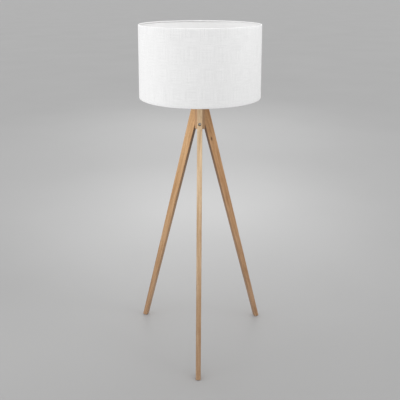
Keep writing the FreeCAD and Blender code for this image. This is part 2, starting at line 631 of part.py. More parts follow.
def make_lampholder():
    base = "holder_base"
    neck = "holder_neck_radius"
    dome_centre = above_base("holder_dome_start + holder_dome_radius")
    dome_outer = "holder_neck_radius + holder_dome_radius"
    dome_inner = "(holder_dome_radius - holder_wall)"
    rim = above_base("holder_rim_height")
    edge = "holder_edge_radius"
    edge_centre = above_base(edge)
    cap = sub_part("lampholder_cap")
    revolve(cap, [
        ("tube_radius + nut_play", base),
        (f"{neck} - {edge}", base),
        (neck, edge_centre, f"{neck} - {edge}", edge_centre, 1),
        (neck, above_base("holder_dome_start")),
        (dome_outer, dome_centre, neck, dome_centre, 1),
        (dome_outer, rim),
        (f"{dome_outer} - holder_wall", rim),
        (f"{dome_outer} - holder_wall", dome_centre),
        (neck, f"{dome_centre} - {dome_inner}", neck, dome_centre, -1),
        ("tube_radius + nut_play", f"{dome_centre} - {dome_inner}"),
    ])
    radial_turning(cap, rectangle("tube_radius", "0", f"{neck} + overcut", "grub_screw_radius"),
                   above_base("grub_screw_height"), "GrubScrewHole", "PartDesign::Groove")

    grub_screw = sub_part("lampholder_grub_screw")
    screw_end = f"{neck} - grub_screw_sunk"
    radial_turning(grub_screw, [
        ("tube_radius", "0"),
        (f"{screw_end} - grub_screw_socket_depth", "0"),
        (f"{screw_end} - grub_screw_socket_depth", "grub_screw_socket"),
        (screw_end, "grub_screw_socket"),
        (screw_end, "grub_screw_radius"),
        ("tube_radius", "grub_screw_radius"),
    ], above_base("grub_screw_height"), "GrubScrew")

    core_radius = "sleeve_inner_radius - core_play"
    core = sub_part("lampholder_core")
    revolve(core, rectangle("0", above_base("core_bottom"), core_radius, above_base("core_top")))
    head_bottom = above_base("core_bottom - terminal_head_height")
    holes = new_sketch(core, "TerminalHoles", "XY_Plane", ("0", "0", above_base("core_bottom")))
    for side in (1, -1):
        draw_circle(holes, "terminal_thread_radius", f"{side} * terminal_offset")
    pocket(core, holes, "terminal_thread_length", name="TerminalHolesCut")

    terminals = sub_part("lampholder_terminals")
    heads = new_sketch(terminals, "Heads", "XY_Plane", ("0", "0", head_bottom))
    threads = new_sketch(terminals, "Threads", "XY_Plane", ("0", "0", above_base("core_bottom")))
    for side in (1, -1):
        draw_circle(heads, "terminal_head_radius", f"{side} * terminal_offset")
        draw_circle(threads, "terminal_thread_radius", f"{side} * terminal_offset")
    pad(terminals, heads, "terminal_head_height", name="HeadsPad")
    pad(terminals, threads, "terminal_thread_length", name="ThreadsPad")

    contact_top = above_base("bulb_seat")
    leaf_top = above_base("core_top + contact_leaf_thickness")
    revolve(sub_part("lampholder_centre_contact"), [
        ("0", above_base("core_top")),
        ("contact_leaf_radius", above_base("core_top")),
        ("contact_leaf_radius", leaf_top),
        ("contact_button_radius", leaf_top),
        ("contact_button_radius", contact_top),
        ("0", contact_top),
    ])

    shell_root = "cap_root_radius + thread_play"
    shell_crest = "cap_crest_radius + thread_play"
    inner_wave = thread_ridges(shell_root, shell_crest, "thread_start", "thread_pitch", "thread_turns")
    outer_wave = thread_ridges(f"{shell_root} + shell_wall", f"{shell_crest} + shell_wall",
                               "thread_start", "thread_pitch", "thread_turns")
    shell_foot = above_base("core_top")
    revolve(sub_part("lampholder_screw_shell"), [
        ("shell_flange_radius", shell_foot),
        ("shell_flange_radius", f"{shell_foot} + shell_wall"),
        (f"{shell_root} + shell_wall", f"{shell_foot} + shell_wall"),
    ] + outer_wave + [
        (f"{shell_root} + shell_wall", "thread_top"),
        (shell_root, "thread_top"),
    ] + inner_wave[::-1] + [(shell_root, shell_foot)])

    thread_crest = "sleeve_root_radius + sleeve_thread_depth"
    shoulder_bottom = "shoulder_top - shoulder_thickness"
    lip_bottom = "sleeve_top - sleeve_lip_thickness"
    edge_start = "sleeve_top - sleeve_edge_radius"
    edge_inside = "sleeve_root_radius - sleeve_edge_radius"
    sleeve_ridges = thread_ridges("sleeve_root_radius", thread_crest, "retainer_bottom",
                                  "sleeve_thread_pitch", "sleeve_thread_turns")
    revolve(sub_part("lampholder_sleeve"), [
        ("sleeve_inner_radius", rim),
        (dome_outer, rim),
        ("shoulder_radius - shoulder_chamfer", shoulder_bottom),
        ("shoulder_radius", f"{shoulder_bottom} + shoulder_chamfer"),
        ("shoulder_radius", "shoulder_top"),
        ("sleeve_root_radius", "shoulder_top"),
    ] + sleeve_ridges + [
        ("sleeve_root_radius", edge_start),
        (edge_inside, "sleeve_top", edge_inside, edge_start, 1),
        ("sleeve_lip_radius", "sleeve_top"),
        ("sleeve_lip_radius", lip_bottom),
        ("sleeve_inner_radius", lip_bottom),
    ])


def make_retaining_ring():
    """Fluted ring that screws down on the shade's carrier."""
    body = sub_part("shade_retaining_ring")
    top = "retainer_bottom + retainer_height"
    root = "sleeve_root_radius + retainer_play"
    crest = "sleeve_root_radius + sleeve_thread_depth + retainer_play"
    ridges = thread_ridges(root, crest, "retainer_bottom", "sleeve_thread_pitch", "retainer_turns")
    revolve(body, [
        (crest, top),
        (crest, "retainer_bottom + sleeve_thread_pitch * retainer_turns"),
    ] + ridges[::-1] + [
        ("retainer_radius - retainer_bevel", "retainer_bottom"),
        ("retainer_radius", "retainer_bottom + retainer_bevel"),
        ("retainer_radius", f"{top} - retainer_bevel"),
        ("retainer_radius - retainer_bevel", top),
    ])
    flute = new_sketch(body, "Flute", "XY_Plane", ("0", "0", "retainer_bottom"))
    draw_circle(flute, "retainer_flute_radius", "retainer_radius + retainer_flute_radius / 2")
    flute_cut = pocket(body, flute, "retainer_height", name="FluteCut")
    repeat_round(body, [flute_cut], "retainer_flutes")


# ---------------------------------------------------------------------------------------------------
# Bulb
# ---------------------------------------------------------------------------------------------------
def make_bulb():
    contact_top = "bulb_bottom + bulb_contact_height"
    cap_lower_edge = above_base("cap_bottom")
    edge_inside = "bulb_contact_radius - bulb_contact_edge"
    edge_end = "bulb_bottom + bulb_contact_edge"
    revolve(sub_part("bulb_centre_contact"), [
        ("0", "bulb_bottom"),
        (edge_inside, "bulb_bottom"),
        ("bulb_contact_radius", edge_end, edge_inside, edge_end, 1),
        ("bulb_contact_radius", contact_top),
        ("0", contact_top),
    ])
    revolve(sub_part("bulb_insulator"), [
        ("0", contact_top),
        ("bulb_contact_radius + insulator_flat", contact_top),
        ("cap_inner_radius", cap_lower_edge),
        ("cap_inner_radius", f"{cap_lower_edge} + insulator_height"),
        ("0", f"{cap_lower_edge} + insulator_height"),
    ])

    collar_top = "housing_bottom"
    ridges = thread_ridges("cap_root_radius", "cap_crest_radius", "thread_start",
                           "thread_pitch", "thread_turns")
    revolve(sub_part("bulb_screw_cap"), [
        ("cap_inner_radius", cap_lower_edge),
        ("cap_root_radius", cap_lower_edge),
    ] + ridges + [
        ("cap_root_radius", "thread_top"),
        ("cap_crest_radius", "thread_top + cap_collar_flare"),
        ("cap_crest_radius", collar_top),
        ("cap_inner_radius", collar_top),
    ])

    wall = "bulb_housing_wall"
    flare_start = "housing_bottom + housing_neck_height"
    revolve(sub_part("bulb_housing"), [
        (f"cap_inner_radius - {wall}", "housing_bottom - bulb_plug_depth"),
        ("cap_inner_radius", "housing_bottom - bulb_plug_depth"),
        ("cap_inner_radius", "housing_bottom"),
        ("bulb_neck_radius - housing_chamfer", "housing_bottom"),
        ("bulb_neck_radius", "housing_bottom + housing_chamfer"),
        ("bulb_neck_radius", flare_start),
        ("bulb_joint_radius", "bulb_joint"),
        (f"bulb_joint_radius - {wall}", "bulb_joint"),
        (f"bulb_neck_radius - {wall}", flare_start),
        (f"cap_inner_radius - {wall}", "housing_bottom"),
    ])

    board_bottom = "bulb_joint - board_thickness - led_height"
    board_radius = f"bulb_joint_radius - 2 * {wall} - led_board_gap"
    revolve(sub_part("bulb_led_board"), rectangle(
        "0", board_bottom, board_radius, f"{board_bottom} + board_thickness"))

    leds = sub_part("bulb_leds")
    chip = new_sketch(leds, "Chip", "XY_Plane", ("0", "0", f"{board_bottom} + board_thickness"))
    draw_outline(chip, rectangle("led_circle - led_size / 2", "-led_size / 2",
                                 "led_circle + led_size / 2", "led_size / 2"))
    chip_pad = pad(leds, chip, "led_height", name="ChipPad")
    repeat_round(leds, [chip_pad], "led_count")

    driver = sub_part("bulb_driver_board")
    driver_top = f"{board_bottom} - driver_gap"
    outline = new_sketch(driver, "Outline", "XZ_Plane")
    draw_outline(outline, rectangle("-driver_width / 2", f"{driver_top} - driver_height",
                                    "driver_width / 2", driver_top))
    pad(driver, outline, "board_thickness", symmetric=True)

    globe_inner = "bulb_radius - bulb_diffuser_wall"
    inner_joint = f"sqrt(({globe_inner})^2 - bulb_joint_drop^2)"
    revolve(sub_part("bulb_diffuser"), [
        ("bulb_joint_radius", "bulb_joint"),
        ("0", "bulb_globe + bulb_radius", "0", "bulb_globe", 1),
        ("0", f"bulb_globe + {globe_inner}"),
        (inner_joint, "bulb_joint", "0", "bulb_globe", -1),
    ])


# ---------------------------------------------------------------------------------------------------
# Shade
# ---------------------------------------------------------------------------------------------------
def roll_point(radius, ring_radius, ring_height, side):
    """Where the wrapped fabric ends: roll_turn degrees round the wire, over its outer side."""
    across = f"{ring_radius} + {radius} * cos(roll_turn * 1 deg)"
    up = f"{ring_height} + {side} * {radius} * sin(roll_turn * 1 deg)"
    return across, up


def make_shade():
    """Tapered drum: fabric on a stiff liner, rolled round a wire ring at each edge."""
    top, low = "upper_ring_height", "lower_ring_height"
    top_ring, low_ring = "upper_ring_radius", "lower_ring_radius"
    outer, inner = "roll_radius", "roll_inner_radius"
    fabric = sub_part("shade_fabric", LEG_AZIMUTHS["rear_right"])
    revolve(fabric, [
        (f"{top_ring} + {outer}", top),
        (*roll_point(outer, top_ring, top, 1), top_ring, top, 1),
        roll_point(inner, top_ring, top, 1),
        (f"{top_ring} + {inner}", top, top_ring, top, -1),
        (f"{low_ring} + {inner}", low),
        (*roll_point(inner, low_ring, low, -1), low_ring, low, -1),
        roll_point(outer, low_ring, low, -1),
        (f"{low_ring} + {outer}", low, low_ring, low, 1),
    ], plane="YZ_Plane")
    notch = new_sketch(fabric, "Notch", "XZ_Plane")
    draw_outline(notch, rectangle(
        f"{low_ring} - roll_radius - overcut", f"{low} - arm_radius - notch_gap / 2",
        f"{low_ring} + notch_gap", f"{low} + roll_radius + overcut"))
    notch_cut = pocket(fabric, notch, "2 * (arm_radius + notch_gap)", symmetric=True, name="NotchCut")
    repeat_round(fabric, [notch_cut], LEG_COUNT)
    revolve(sub_part("shade_liner"), [
        (f"{low_ring} + ring_wire_radius", low),
        (f"{low_ring} + {inner}", low),
        (f"{top_ring} + {inner}", top),
        (f"{top_ring} + ring_wire_radius", top),
    ])

    for label, radius, height in (("shade_top_ring", top_ring, top), ("shade_bottom_ring", low_ring, low)):
        body = sub_part(label)
        section = new_sketch(body, "Wire", "XZ_Plane")
        draw_circle(section, "ring_wire_radius", radius, height)
        ring = body.newObject("PartDesign::Revolution", "Ring")
        ring.Profile = section
        ring.ReferenceAxis = (origin_feature(body, "Z_Axis"), [""])
        ring.Angle = FULL_TURN

    revolve(sub_part("shade_carrier_ring"), rectangle(
        "carrier_inner_radius", "shoulder_top", "carrier_outer_radius", "retainer_bottom"))
    make_spider_arms()


def make_spider_arms():
    """Three wires: level on the carrier ring, then bent down to the shade's lower ring."""
    body = sub_part("shade_spider_arms", LEG_AZIMUTHS["rear_right"])
    level = "(retainer_bottom + arm_radius)"
    outer_end = "(lower_ring_radius - ring_wire_radius + arm_weld_depth)"
    drop = f"({level} - lower_ring_height)"
    slope = f"atan({drop} / ({outer_end} - arm_knee))"
    tangent = f"(arm_bend_radius * tan({slope} / 2))"
    bend_start = f"arm_knee - {tangent}"
    path = new_sketch(body, "MiddleLine", "XZ_Plane")
    corners = [
        ("arm_start", level),
        (bend_start, level),
        (f"arm_knee + {tangent} * cos({slope})", f"{level} - {tangent} * sin({slope})"),
        (outer_end, "lower_ring_height"),
    ]
    points = [FreeCAD.Vector(value(across), value(up), 0) for across, up in corners]
    centre = FreeCAD.Vector(points[1].x, points[1].y - value("arm_bend_radius"), 0)
    circle = Part.Circle(centre, FreeCAD.Vector(0, 0, 1), value("arm_bend_radius"))
    turned = math.atan2(points[2].y - centre.y, points[2].x - centre.x)
    path.addGeometry(Part.LineSegment(points[0], points[1]), False)
    path.addGeometry(Part.ArcOfCircle(circle, turned, math.pi / 2), False)
    path.addGeometry(Part.LineSegment(points[2], points[3]), False)
    path.addConstraint(Sketcher.Constraint("Coincident", 0, 2, 1, 2))
    path.addConstraint(Sketcher.Constraint("Coincident", 1, 1, 2, 1))
    for geometry, point, corner in ((0, 1, 0), (0, 2, 1), (2, 1, 2), (2, 2, 3)):
        pin_point(path, geometry, point, *corners[corner])
    index = path.addConstraint(Sketcher.Constraint("Radius", 1, value("arm_bend_radius")))
    bind(path, f"Constraints[{index}]", "arm_bend_radius")

    wire = new_sketch(body, "WireSection", "YZ_Plane", ("0", "0", "arm_start"))
    draw_circle(wire, "arm_radius", "0", level)
    arm = body.newObject("PartDesign::AdditivePipe", "Arm")
    arm.Profile = wire
    arm.Spine = (path, ["Edge1", "Edge2", "Edge3"])
    repeat_round(body, [arm], LEG_COUNT)


def check_and_export():
    """Every feature must be sound before any file is written."""
    doc.recompute()
    for thing in doc.Objects:
        if "Invalid" in thing.State or "Error" in thing.State:
            raise RuntimeError(f"{thing.Label} failed: {thing.State}")
    for body in SUB_PARTS:
        if body.Shape.isNull() or not body.Shape.isValid() or body.Shape.Volume <= 0:
            raise RuntimeError(f"{body.Label} has no sound shape")
    os.makedirs("parts", exist_ok=True)
    for body in SUB_PARTS:
        body.Shape.exportStep(os.path.join("parts", body.Label + ".step"))
        print(f"{body.Label:28s} {len(body.Shape.Solids):2d} solid(s) {body.Shape.Volume:12.1f} mm3")
    print("overall height", round(value("shade_top"), 2))


for place, azimuth in LEG_AZIMUTHS.items():
    make_leg("leg_" + place, azimuth)
    make_foot_pad("foot_pad_" + place, azimuth)
make_hub()
make_leg_fixings()
make_stem()
make_lead_bush()
make_lampholder()
make_retaining_ring()
make_bulb()
make_shade()
check_and_export()
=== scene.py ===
"""Looks of the tripod floor lamp: materials, fabric shade, wire work and small turned pieces.

Written as a Blender add-on and run as a script.  Lengths are metres in the lamp's own frame: the
origin is on the floor under the lamp's axis, +Z is up and -Y points along the front leg.
"""
import math

import bmesh
import bpy
from mathutils import Matrix, Vector, noise


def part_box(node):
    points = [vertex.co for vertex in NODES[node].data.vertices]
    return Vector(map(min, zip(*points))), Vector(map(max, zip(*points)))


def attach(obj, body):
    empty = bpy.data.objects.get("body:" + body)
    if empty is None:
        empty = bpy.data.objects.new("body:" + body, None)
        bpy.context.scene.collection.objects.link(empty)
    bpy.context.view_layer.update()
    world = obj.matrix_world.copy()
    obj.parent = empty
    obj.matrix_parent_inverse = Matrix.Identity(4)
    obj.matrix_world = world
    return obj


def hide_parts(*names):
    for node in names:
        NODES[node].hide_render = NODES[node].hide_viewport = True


bl_info = {
    "name": "Tripod floor lamp looks",
    "version": (1, 0, 0),
    "blender": (4, 5, 0),
    "location": "View3D > Sidebar > Lamp",
    "description": "Builds the visible finish of a wooden tripod floor lamp around its frame",
    "category": "Object",
}

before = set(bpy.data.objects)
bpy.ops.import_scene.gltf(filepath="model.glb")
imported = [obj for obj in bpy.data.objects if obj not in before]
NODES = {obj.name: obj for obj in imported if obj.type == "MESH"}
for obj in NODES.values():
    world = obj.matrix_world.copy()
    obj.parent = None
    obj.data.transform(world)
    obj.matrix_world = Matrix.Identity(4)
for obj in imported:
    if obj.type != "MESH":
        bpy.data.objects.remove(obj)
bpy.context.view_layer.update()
MM = 0.001
PLACES = ("front", "rear_right", "rear_left")
LEGS = tuple("leg_" + place for place in PLACES)
FOOT_PADS = tuple("foot_pad_" + place for place in PLACES)


# --------------------------------------------------------------------------------------------------
# Sizes read from the frame
# --------------------------------------------------------------------------------------------------
def reach(node):
    """Distance of a node's farthest point from the lamp's axis."""
    return max(math.hypot(v.co.x, v.co.y) for v in NODES[node].data.vertices)


def nearest(node):
    """Distance of a node's nearest point from the lamp's axis."""
    return min(math.hypot(v.co.x, v.co.y) for v in NODES[node].data.vertices)


def levels(node):
    """Lowest and highest level of a node."""
    low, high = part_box(node)
    return low.z, high.z


def azimuth_of(node):
    """Direction of a node seen from the lamp's axis, in radians."""
    low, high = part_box(node)
    middle = (low + high) / 2
    return math.atan2(middle.y, middle.x)


WIRE_LOW, WIRE_HIGH = levels("shade_top_ring")
WIRE_RADIUS = (WIRE_HIGH - WIRE_LOW) / 2
TOP_RING = WIRE_HIGH - WIRE_RADIUS
BOTTOM_RING = levels("shade_bottom_ring")[1] - WIRE_RADIUS
TOP_RING_RADIUS = reach("shade_top_ring") - WIRE_RADIUS
BOTTOM_RING_RADIUS = reach("shade_bottom_ring") - WIRE_RADIUS
SHADE_RADIUS = reach("shade_fabric")
ROLL_RADIUS = SHADE_RADIUS - BOTTOM_RING_RADIUS
ARM_AZIMUTHS = [azimuth_of(pad) for pad in FOOT_PADS]
SEAM_AZIMUTH = math.pi / 2
# levels of the shade's wall from wire to wire, and steps of its fabric round each wire
WALL_ROWS = 28
WALL_LEVELS = [
    BOTTOM_RING + (TOP_RING - BOTTOM_RING) * row / WALL_ROWS for row in range(WALL_ROWS + 1)]
ROLL_STEPS = 16
# the fabric slopes up to its seam's lap, and the lap ends within a thread
SEAM_SLOPE = 3 * MM
SEAM_END = 0.35 * MM
# the lower edge is snipped on both sides of a wire arm, and runs out beside the snip
SNIP_HALF_WIDTH = 4.2 * MM
SNIP_RUN_OUT = 1.2 * MM


# --------------------------------------------------------------------------------------------------
# Sizes and colours that a user may change
# --------------------------------------------------------------------------------------------------
def linear(code):
    """Linear colour of an sRGB hex code such as "#C8A67A"."""
    parts = [int(code[i:i + 2], 16) / 255 for i in (1, 3, 5)]
    curved = [c / 12.92 if c <= 0.04045 else ((c + 0.055) / 1.055) ** 2.4 for c in parts]
    return (*curved, 1.0)


def measure_property(name, description, default, unit="LENGTH"):
    """Property for a length, or for a measure of another kind."""
    return bpy.props.FloatProperty(
        name=name, description=description, default=default, unit=unit)


def colour_property(name, description, code):
    """Property for a colour, with the default given as an sRGB hex code."""
    return bpy.props.FloatVectorProperty(
        name=name, description=description, default=linear(code), subtype="COLOR", size=4,
        min=0, max=1)


class LampSizes(bpy.types.PropertyGroup):
    """Sizes of the fine pieces and of the patterns in the materials."""

    fabric_thickness: measure_property("Fabric", "Thickness of the shade's fabric", 0.4 * MM)
    liner_thickness: measure_property(
        "Liner", "Thickness of the stiff sheet behind the fabric", 0.5 * MM)
    seam_width: measure_property("Seam", "Overlap of the shade's glued upright seam", 12 * MM)
    roll_turn: bpy.props.FloatProperty(
        name="Rolled edge", description="How far the fabric wraps round the edge wires",
        default=math.radians(250), subtype="ANGLE")
    thread_spacing: measure_property("Weave", "Spacing of the fabric's threads", 1.1 * MM)
    growth_ring: measure_property(
        "Growth rings", "Average width of a growth ring in the wood", 2.6 * MM)
    tube_pitch: measure_property("Tube thread", "Pitch of the threaded tube", 1 * MM)
    tube_thread_depth: measure_property(
        "Tube thread depth", "Depth of the tube's thread", 0.55 * MM)


class LampColours(bpy.types.PropertyGroup):
    """Colours of the lamp's materials."""

    early_wood: colour_property("Early wood", "Pale part of a growth ring", "#D6B68C")
    late_wood: colour_property("Late wood", "Dense part of a growth ring", "#A67C4E")
    # knots, and the painted shade on the legs' inner edges
    pores: colour_property("Pores", "Open pores of the wood", "#7C5936")
    knot_and_edge_shade: colour_property("Heartwood", "Knots and the legs' inner edges", "#5E4027")
    fabric: colour_property("Fabric", "Shade fabric", "#F2F2F2")
    # fabric hollows: painted shade between the threads
    fabric_shadow: colour_property("Fabric hollows", "Fabric between its threads", "#CFCFCF")
    liner: colour_property("Liner", "Inside of the shade", "#EDEDED")
    floor: colour_property("Floor", "Studio floor", "#B6B6B6")


class LampLight(bpy.types.PropertyGroup):
    """Strengths of the studio lights."""

    front: measure_property("Front", "Gridded softbox beside the camera", 1.0, "POWER")
    left: measure_property("Left", "Gridded softbox on the left", 2.95, "POWER")
    right: measure_property("Right", "Gridded softbox high on the right", 2.1, "POWER")
    backdrop: measure_property("Backdrop", "Softbox over the floor behind", 3.9, "POWER")
    distance: measure_property("Distance", "Softbox over the floor far behind", 8.0, "POWER")
    surround: bpy.props.FloatProperty(
        name="Surround", description="Brightness of the room around", default=0.92, min=0)


# --------------------------------------------------------------------------------------------------
# Nodes and materials
# --------------------------------------------------------------------------------------------------
# the mix node has sockets for several kinds of value; these are the ones it uses for colours
FACTOR, COLOUR_A, COLOUR_B, COLOUR_RESULT = 0, 6, 7, 2
# a wave texture of scale 1 repeats every tau / 20
WAVE_REPEAT = math.tau / 20


def add(tree, kind, take, inputs=None, stops=(), **settings):
    """Add a node and return the output to take from it.

    inputs hold a value or another node's output each, stops are a colour ramp's, and settings are
    the node's own.
    """
    made = tree.nodes.new(kind)
    for name, setting in settings.items():
        setattr(made, name, setting)
    for key, given in (inputs or {}).items():
        if isinstance(given, bpy.types.NodeSocket):
            tree.links.new(given, made.inputs[key])
        else:
            made.inputs[key].default_value = given
    for i, (position, colour) in enumerate(stops):
        ramp = made.color_ramp.elements
        stop = ramp[i] if i < 2 else ramp.new(position)
        stop.position = position
        stop.color = colour
    return made.outputs[take] if made.outputs else made


def new_material(name):
    """Empty material and its node tree."""
    material = bpy.data.materials.new(name)
    material.use_nodes = True
    material.node_tree.nodes.clear()
    return material, material.node_tree


def surface(tree, height=None, bump_distance=0.1 * MM, bump_strength=0.5, **sockets):
    """The finished surface: a principled shader, bumped where a height is given."""
    names = {key.replace("_", " ").title().replace("Ior", "IOR"): v for key, v in sockets.items()}
    if height is not None:
        names["Normal"] = add(tree, "ShaderNodeBump", "Normal", {
            "Height": height, "Distance": bump_distance, "Strength": bump_strength})
    shader = add(tree, "ShaderNodeBsdfPrincipled", "BSDF", names)
    add(tree, "ShaderNodeOutputMaterial", None, {"Surface": shader})


def mottling(tree, point, across, through, along, low=0.0, high=1.0, detail=3.0):
    """Cloudy pattern from low to high, whose clouds have the given size in each direction."""
    shrunk = add(tree, "ShaderNodeVectorMath", 0, {
        0: point, 1: (1 / across, 1 / through, 1 / along)}, operation="MULTIPLY")
    clouds = add(tree, "ShaderNodeTexNoise", "Fac", {
        "Vector": shrunk, "Scale": 1.0, "Detail": detail, "Roughness": 0.6})
    return add(tree, "ShaderNodeMapRange", "Result", {
        "Value": clouds, "From Min": 0.3, "From Max": 0.7, "To Min": low, "To Max": high})


def board_point(tree, leg):
    """Point in a board's own directions: across its width, through its depth, along its grain."""
    low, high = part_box(leg)
    turn = lean = 0.0
    if leg in LEGS:
        turn = azimuth_of(leg)
        lean = math.atan2(reach(leg) - nearest(leg), high.z - low.z)
    to_board = Matrix.Rotation(lean, 3, "Y") @ Matrix.Rotation(-turn, 3, "Z")
    middle = (low + high) / 2
    return add(tree, "ShaderNodeMapping", "Vector", {
        "Vector": add(tree, "ShaderNodeTexCoord", "Object"),
        "Rotation": tuple(to_board.to_euler("XYZ")), "Location": tuple(-(to_board @ middle))})


def crooked(tree, point):
    """A board's point, shifted the way the trunk grew crooked, so that the rings wander."""
    crook_width, crook_length, wander_range = 45 * MM, 330 * MM, 20 * MM
    crook = add(tree, "ShaderNodeVectorMath", 0, {
        0: point, 1: (1 / crook_width, 1 / crook_width, 1 / crook_length)}, operation="MULTIPLY")
    drift = add(tree, "ShaderNodeTexNoise", "Color", {"Vector": crook, "Scale": 1.0, "Detail": 2.0})
    wander = add(tree, "ShaderNodeVectorMath", 0, {
        0: drift, 1: (wander_range, wander_range, 0),
        2: (-wander_range / 2, -wander_range / 2, 0)}, operation="MULTIPLY_ADD")
    return add(tree, "ShaderNodeVectorMath", 0, {0: point, 1: wander}, operation="ADD")


def late_wood_share(tree, bent, pith, growth_ring):
    """Share of late wood at a point: it grows slowly through a ring, then ends in one season."""
    from_pith = add(tree, "ShaderNodeVectorMath", 0, {0: bent, 1: (*pith, 0)}, operation="SUBTRACT")
    rings = add(tree, "ShaderNodeTexWave", "Fac", {
        "Vector": from_pith, "Scale": WAVE_REPEAT / growth_ring,
        "Distortion": 0.9, "Detail": 2.0, "Detail Scale": 0.6},
        wave_type="RINGS", rings_direction="Z", wave_profile="SAW")
    through_a_ring = ((0.0, 0.15), (0.3, 0.05), (0.7, 0.45), (0.92, 1.0), (1.0, 0.25))
    return add(tree, "ShaderNodeValToRGB", "Color", {"Fac": rings}, stops=[
        (position, (share, share, share, 1)) for position, share in through_a_ring])


def knotted(tree, wood, point, knot, knot_colour):
    """Wood colour with an oval knot at a place on the board."""
    knot_width, knot_depth, knot_length = 4 * MM, 6 * MM, 10 * MM
    away = add(tree, "ShaderNodeVectorMath", 0, {0: point, 1: knot}, operation="SUBTRACT")
    oval = add(tree, "ShaderNodeVectorMath", 0, {
        0: away, 1: (1 / knot_width, 1 / knot_depth, 1 / knot_length)}, operation="MULTIPLY")
    from_knot = add(tree, "ShaderNodeVectorMath", "Value", {0: oval}, operation="LENGTH")
    knot_share = add(tree, "ShaderNodeMapRange", "Result", {
        "Value": from_knot, "From Min": 0.4, "From Max": 1.3, "To Min": 0.95, "To Max": 0.0})
    return add(tree, "ShaderNodeMix", COLOUR_RESULT, {
        FACTOR: knot_share, COLOUR_A: wood, COLOUR_B: knot_colour}, data_type="RGBA")


def inner_edge_shaded(tree, wood, along, turn, edge_shade_colour):
    """Wood colour with painted shade on the edge that faces the lamp's axis, deepest at the top."""
    facing = add(tree, "ShaderNodeVectorMath", "Value", {
        0: add(tree, "ShaderNodeTexCoord", "Normal"),
        1: (-math.cos(turn), -math.sin(turn), 0)}, operation="DOT_PRODUCT")
    # painted shade, deepest towards the board's upper end near the hub
    deepest_shade = add(tree, "ShaderNodeMapRange", "Result", {
        "Value": along, "From Min": -100 * MM, "From Max": 420 * MM,
        "To Min": 0.3, "To Max": 0.85})
    edge_shade_share = add(tree, "ShaderNodeMapRange", "Result", {
        "Value": facing, "From Min": 0.55, "From Max": 0.85, "To Max": deepest_shade})
    return add(tree, "ShaderNodeMix", COLOUR_RESULT, {
        FACTOR: edge_shade_share, COLOUR_A: wood, COLOUR_B: edge_shade_colour}, data_type="RGBA")


def lacquered_ash(name, leg, sizes, colours, pith, foot_tint_and_shade, top_tint_and_light, knot=None):
    """Ash, planed along the grain and sealed with a matt clear lacquer.

    The eye sees straight growth rings with a sharp late edge, rows of fine open pores in the early
    wood, slow drifts of warmth along the board, and a soft gloss that dips in the pores. Painted
    light and shade go over it: lighter and paler towards the top, darker towards the foot, and
    darker on a leg's edge that faces the lamp's axis.
    """
    material, tree = new_material(name)
    point = board_point(tree, leg)
    bent = crooked(tree, point)
    late = late_wood_share(tree, bent, pith, sizes.growth_ring)
    # broad streaks, drawn coarser than single rings so that they show from across a room
    streaks = mottling(tree, bent, 8 * MM, 8 * MM, 170 * MM, detail=4.0)
    late_share = add(tree, "ShaderNodeMath", 0, {0: late, 1: streaks}, operation="MULTIPLY")
    late_share = add(tree, "ShaderNodeMapRange", "Result", {
        "Value": late_share, "To Min": 0.08, "To Max": 0.95})
    wood = add(tree, "ShaderNodeMix", COLOUR_RESULT, {
        FACTOR: late_share, COLOUR_A: colours.early_wood, COLOUR_B: colours.late_wood},
        data_type="RGBA")
    streak_strength = 0.75
    dark_streaks = add(tree, "ShaderNodeMath", 0, {
        0: streaks, 1: streak_strength}, operation="MULTIPLY")
    wood = add(tree, "ShaderNodeMix", COLOUR_RESULT, {
        FACTOR: dark_streaks, COLOUR_A: wood, COLOUR_B: colours.late_wood}, data_type="RGBA")
    # pores are 0.3 mm wide in the tree; drawn twice as wide
    pores = mottling(tree, bent, 0.6 * MM, 0.6 * MM, 9 * MM, -0.9, 0.55, detail=1.0)
    early_share = add(tree, "ShaderNodeMath", 0, {0: 1.0, 1: late}, operation="SUBTRACT")
    pore_share = add(tree, "ShaderNodeMath", 0, {
        0: pores, 1: early_share}, operation="MULTIPLY", use_clamp=True)
    wood = add(tree, "ShaderNodeMix", COLOUR_RESULT, {
        FACTOR: pore_share, COLOUR_A: wood, COLOUR_B: colours.pores}, data_type="RGBA")
    if knot is not None:
        wood = knotted(tree, wood, point, knot, colours.knot_and_edge_shade)
    fibres = mottling(tree, point, 0.5 * MM, 0.5 * MM, 26 * MM)
    fibre_shade = add(tree, "ShaderNodeMapRange", "Result", {
        "Value": fibres, "To Min": 0.93, "To Max": 1.05})
    wood = add(tree, "ShaderNodeMix", COLOUR_RESULT, {
        FACTOR: 1.0, COLOUR_A: wood, COLOUR_B: fibre_shade},
        data_type="RGBA", blend_type="MULTIPLY")
    # the board's tint goes over from its foot's to its upper end's, and paints light and shade with
    # it: lighter and paler towards the top, darker towards the foot
    along = add(tree, "ShaderNodeSeparateXYZ", "Z", {"Vector": point})
    half_length = 500 * MM
    toward_top = add(tree, "ShaderNodeMapRange", "Result", {
        "Value": along, "From Min": -half_length, "From Max": half_length})
    cast = add(tree, "ShaderNodeMix", COLOUR_RESULT, {
        FACTOR: toward_top, COLOUR_A: (*foot_tint_and_shade, 1), COLOUR_B: (*top_tint_and_light, 1)}, data_type="RGBA")
    wood = add(tree, "ShaderNodeMix", COLOUR_RESULT, {
        FACTOR: 1.0, COLOUR_A: wood, COLOUR_B: cast}, data_type="RGBA", blend_type="MULTIPLY")
    # the legs' edges that face the lamp's axis are painted darker: painted shade
    if leg in LEGS:
        wood = inner_edge_shaded(tree, wood, along, azimuth_of(leg), colours.knot_and_edge_shade)
    gloss = add(tree, "ShaderNodeMapRange", "Result", {
        "Value": pore_share, "To Min": 0.42, "To Max": 0.68})
    height = add(tree, "ShaderNodeMath", 0, {
        0: pore_share, 1: -1.0, 2: fibres}, operation="MULTIPLY_ADD")
    surface(tree, height, 0.06 * MM, base_color=wood, roughness=gloss, ior=1.5)
    return material


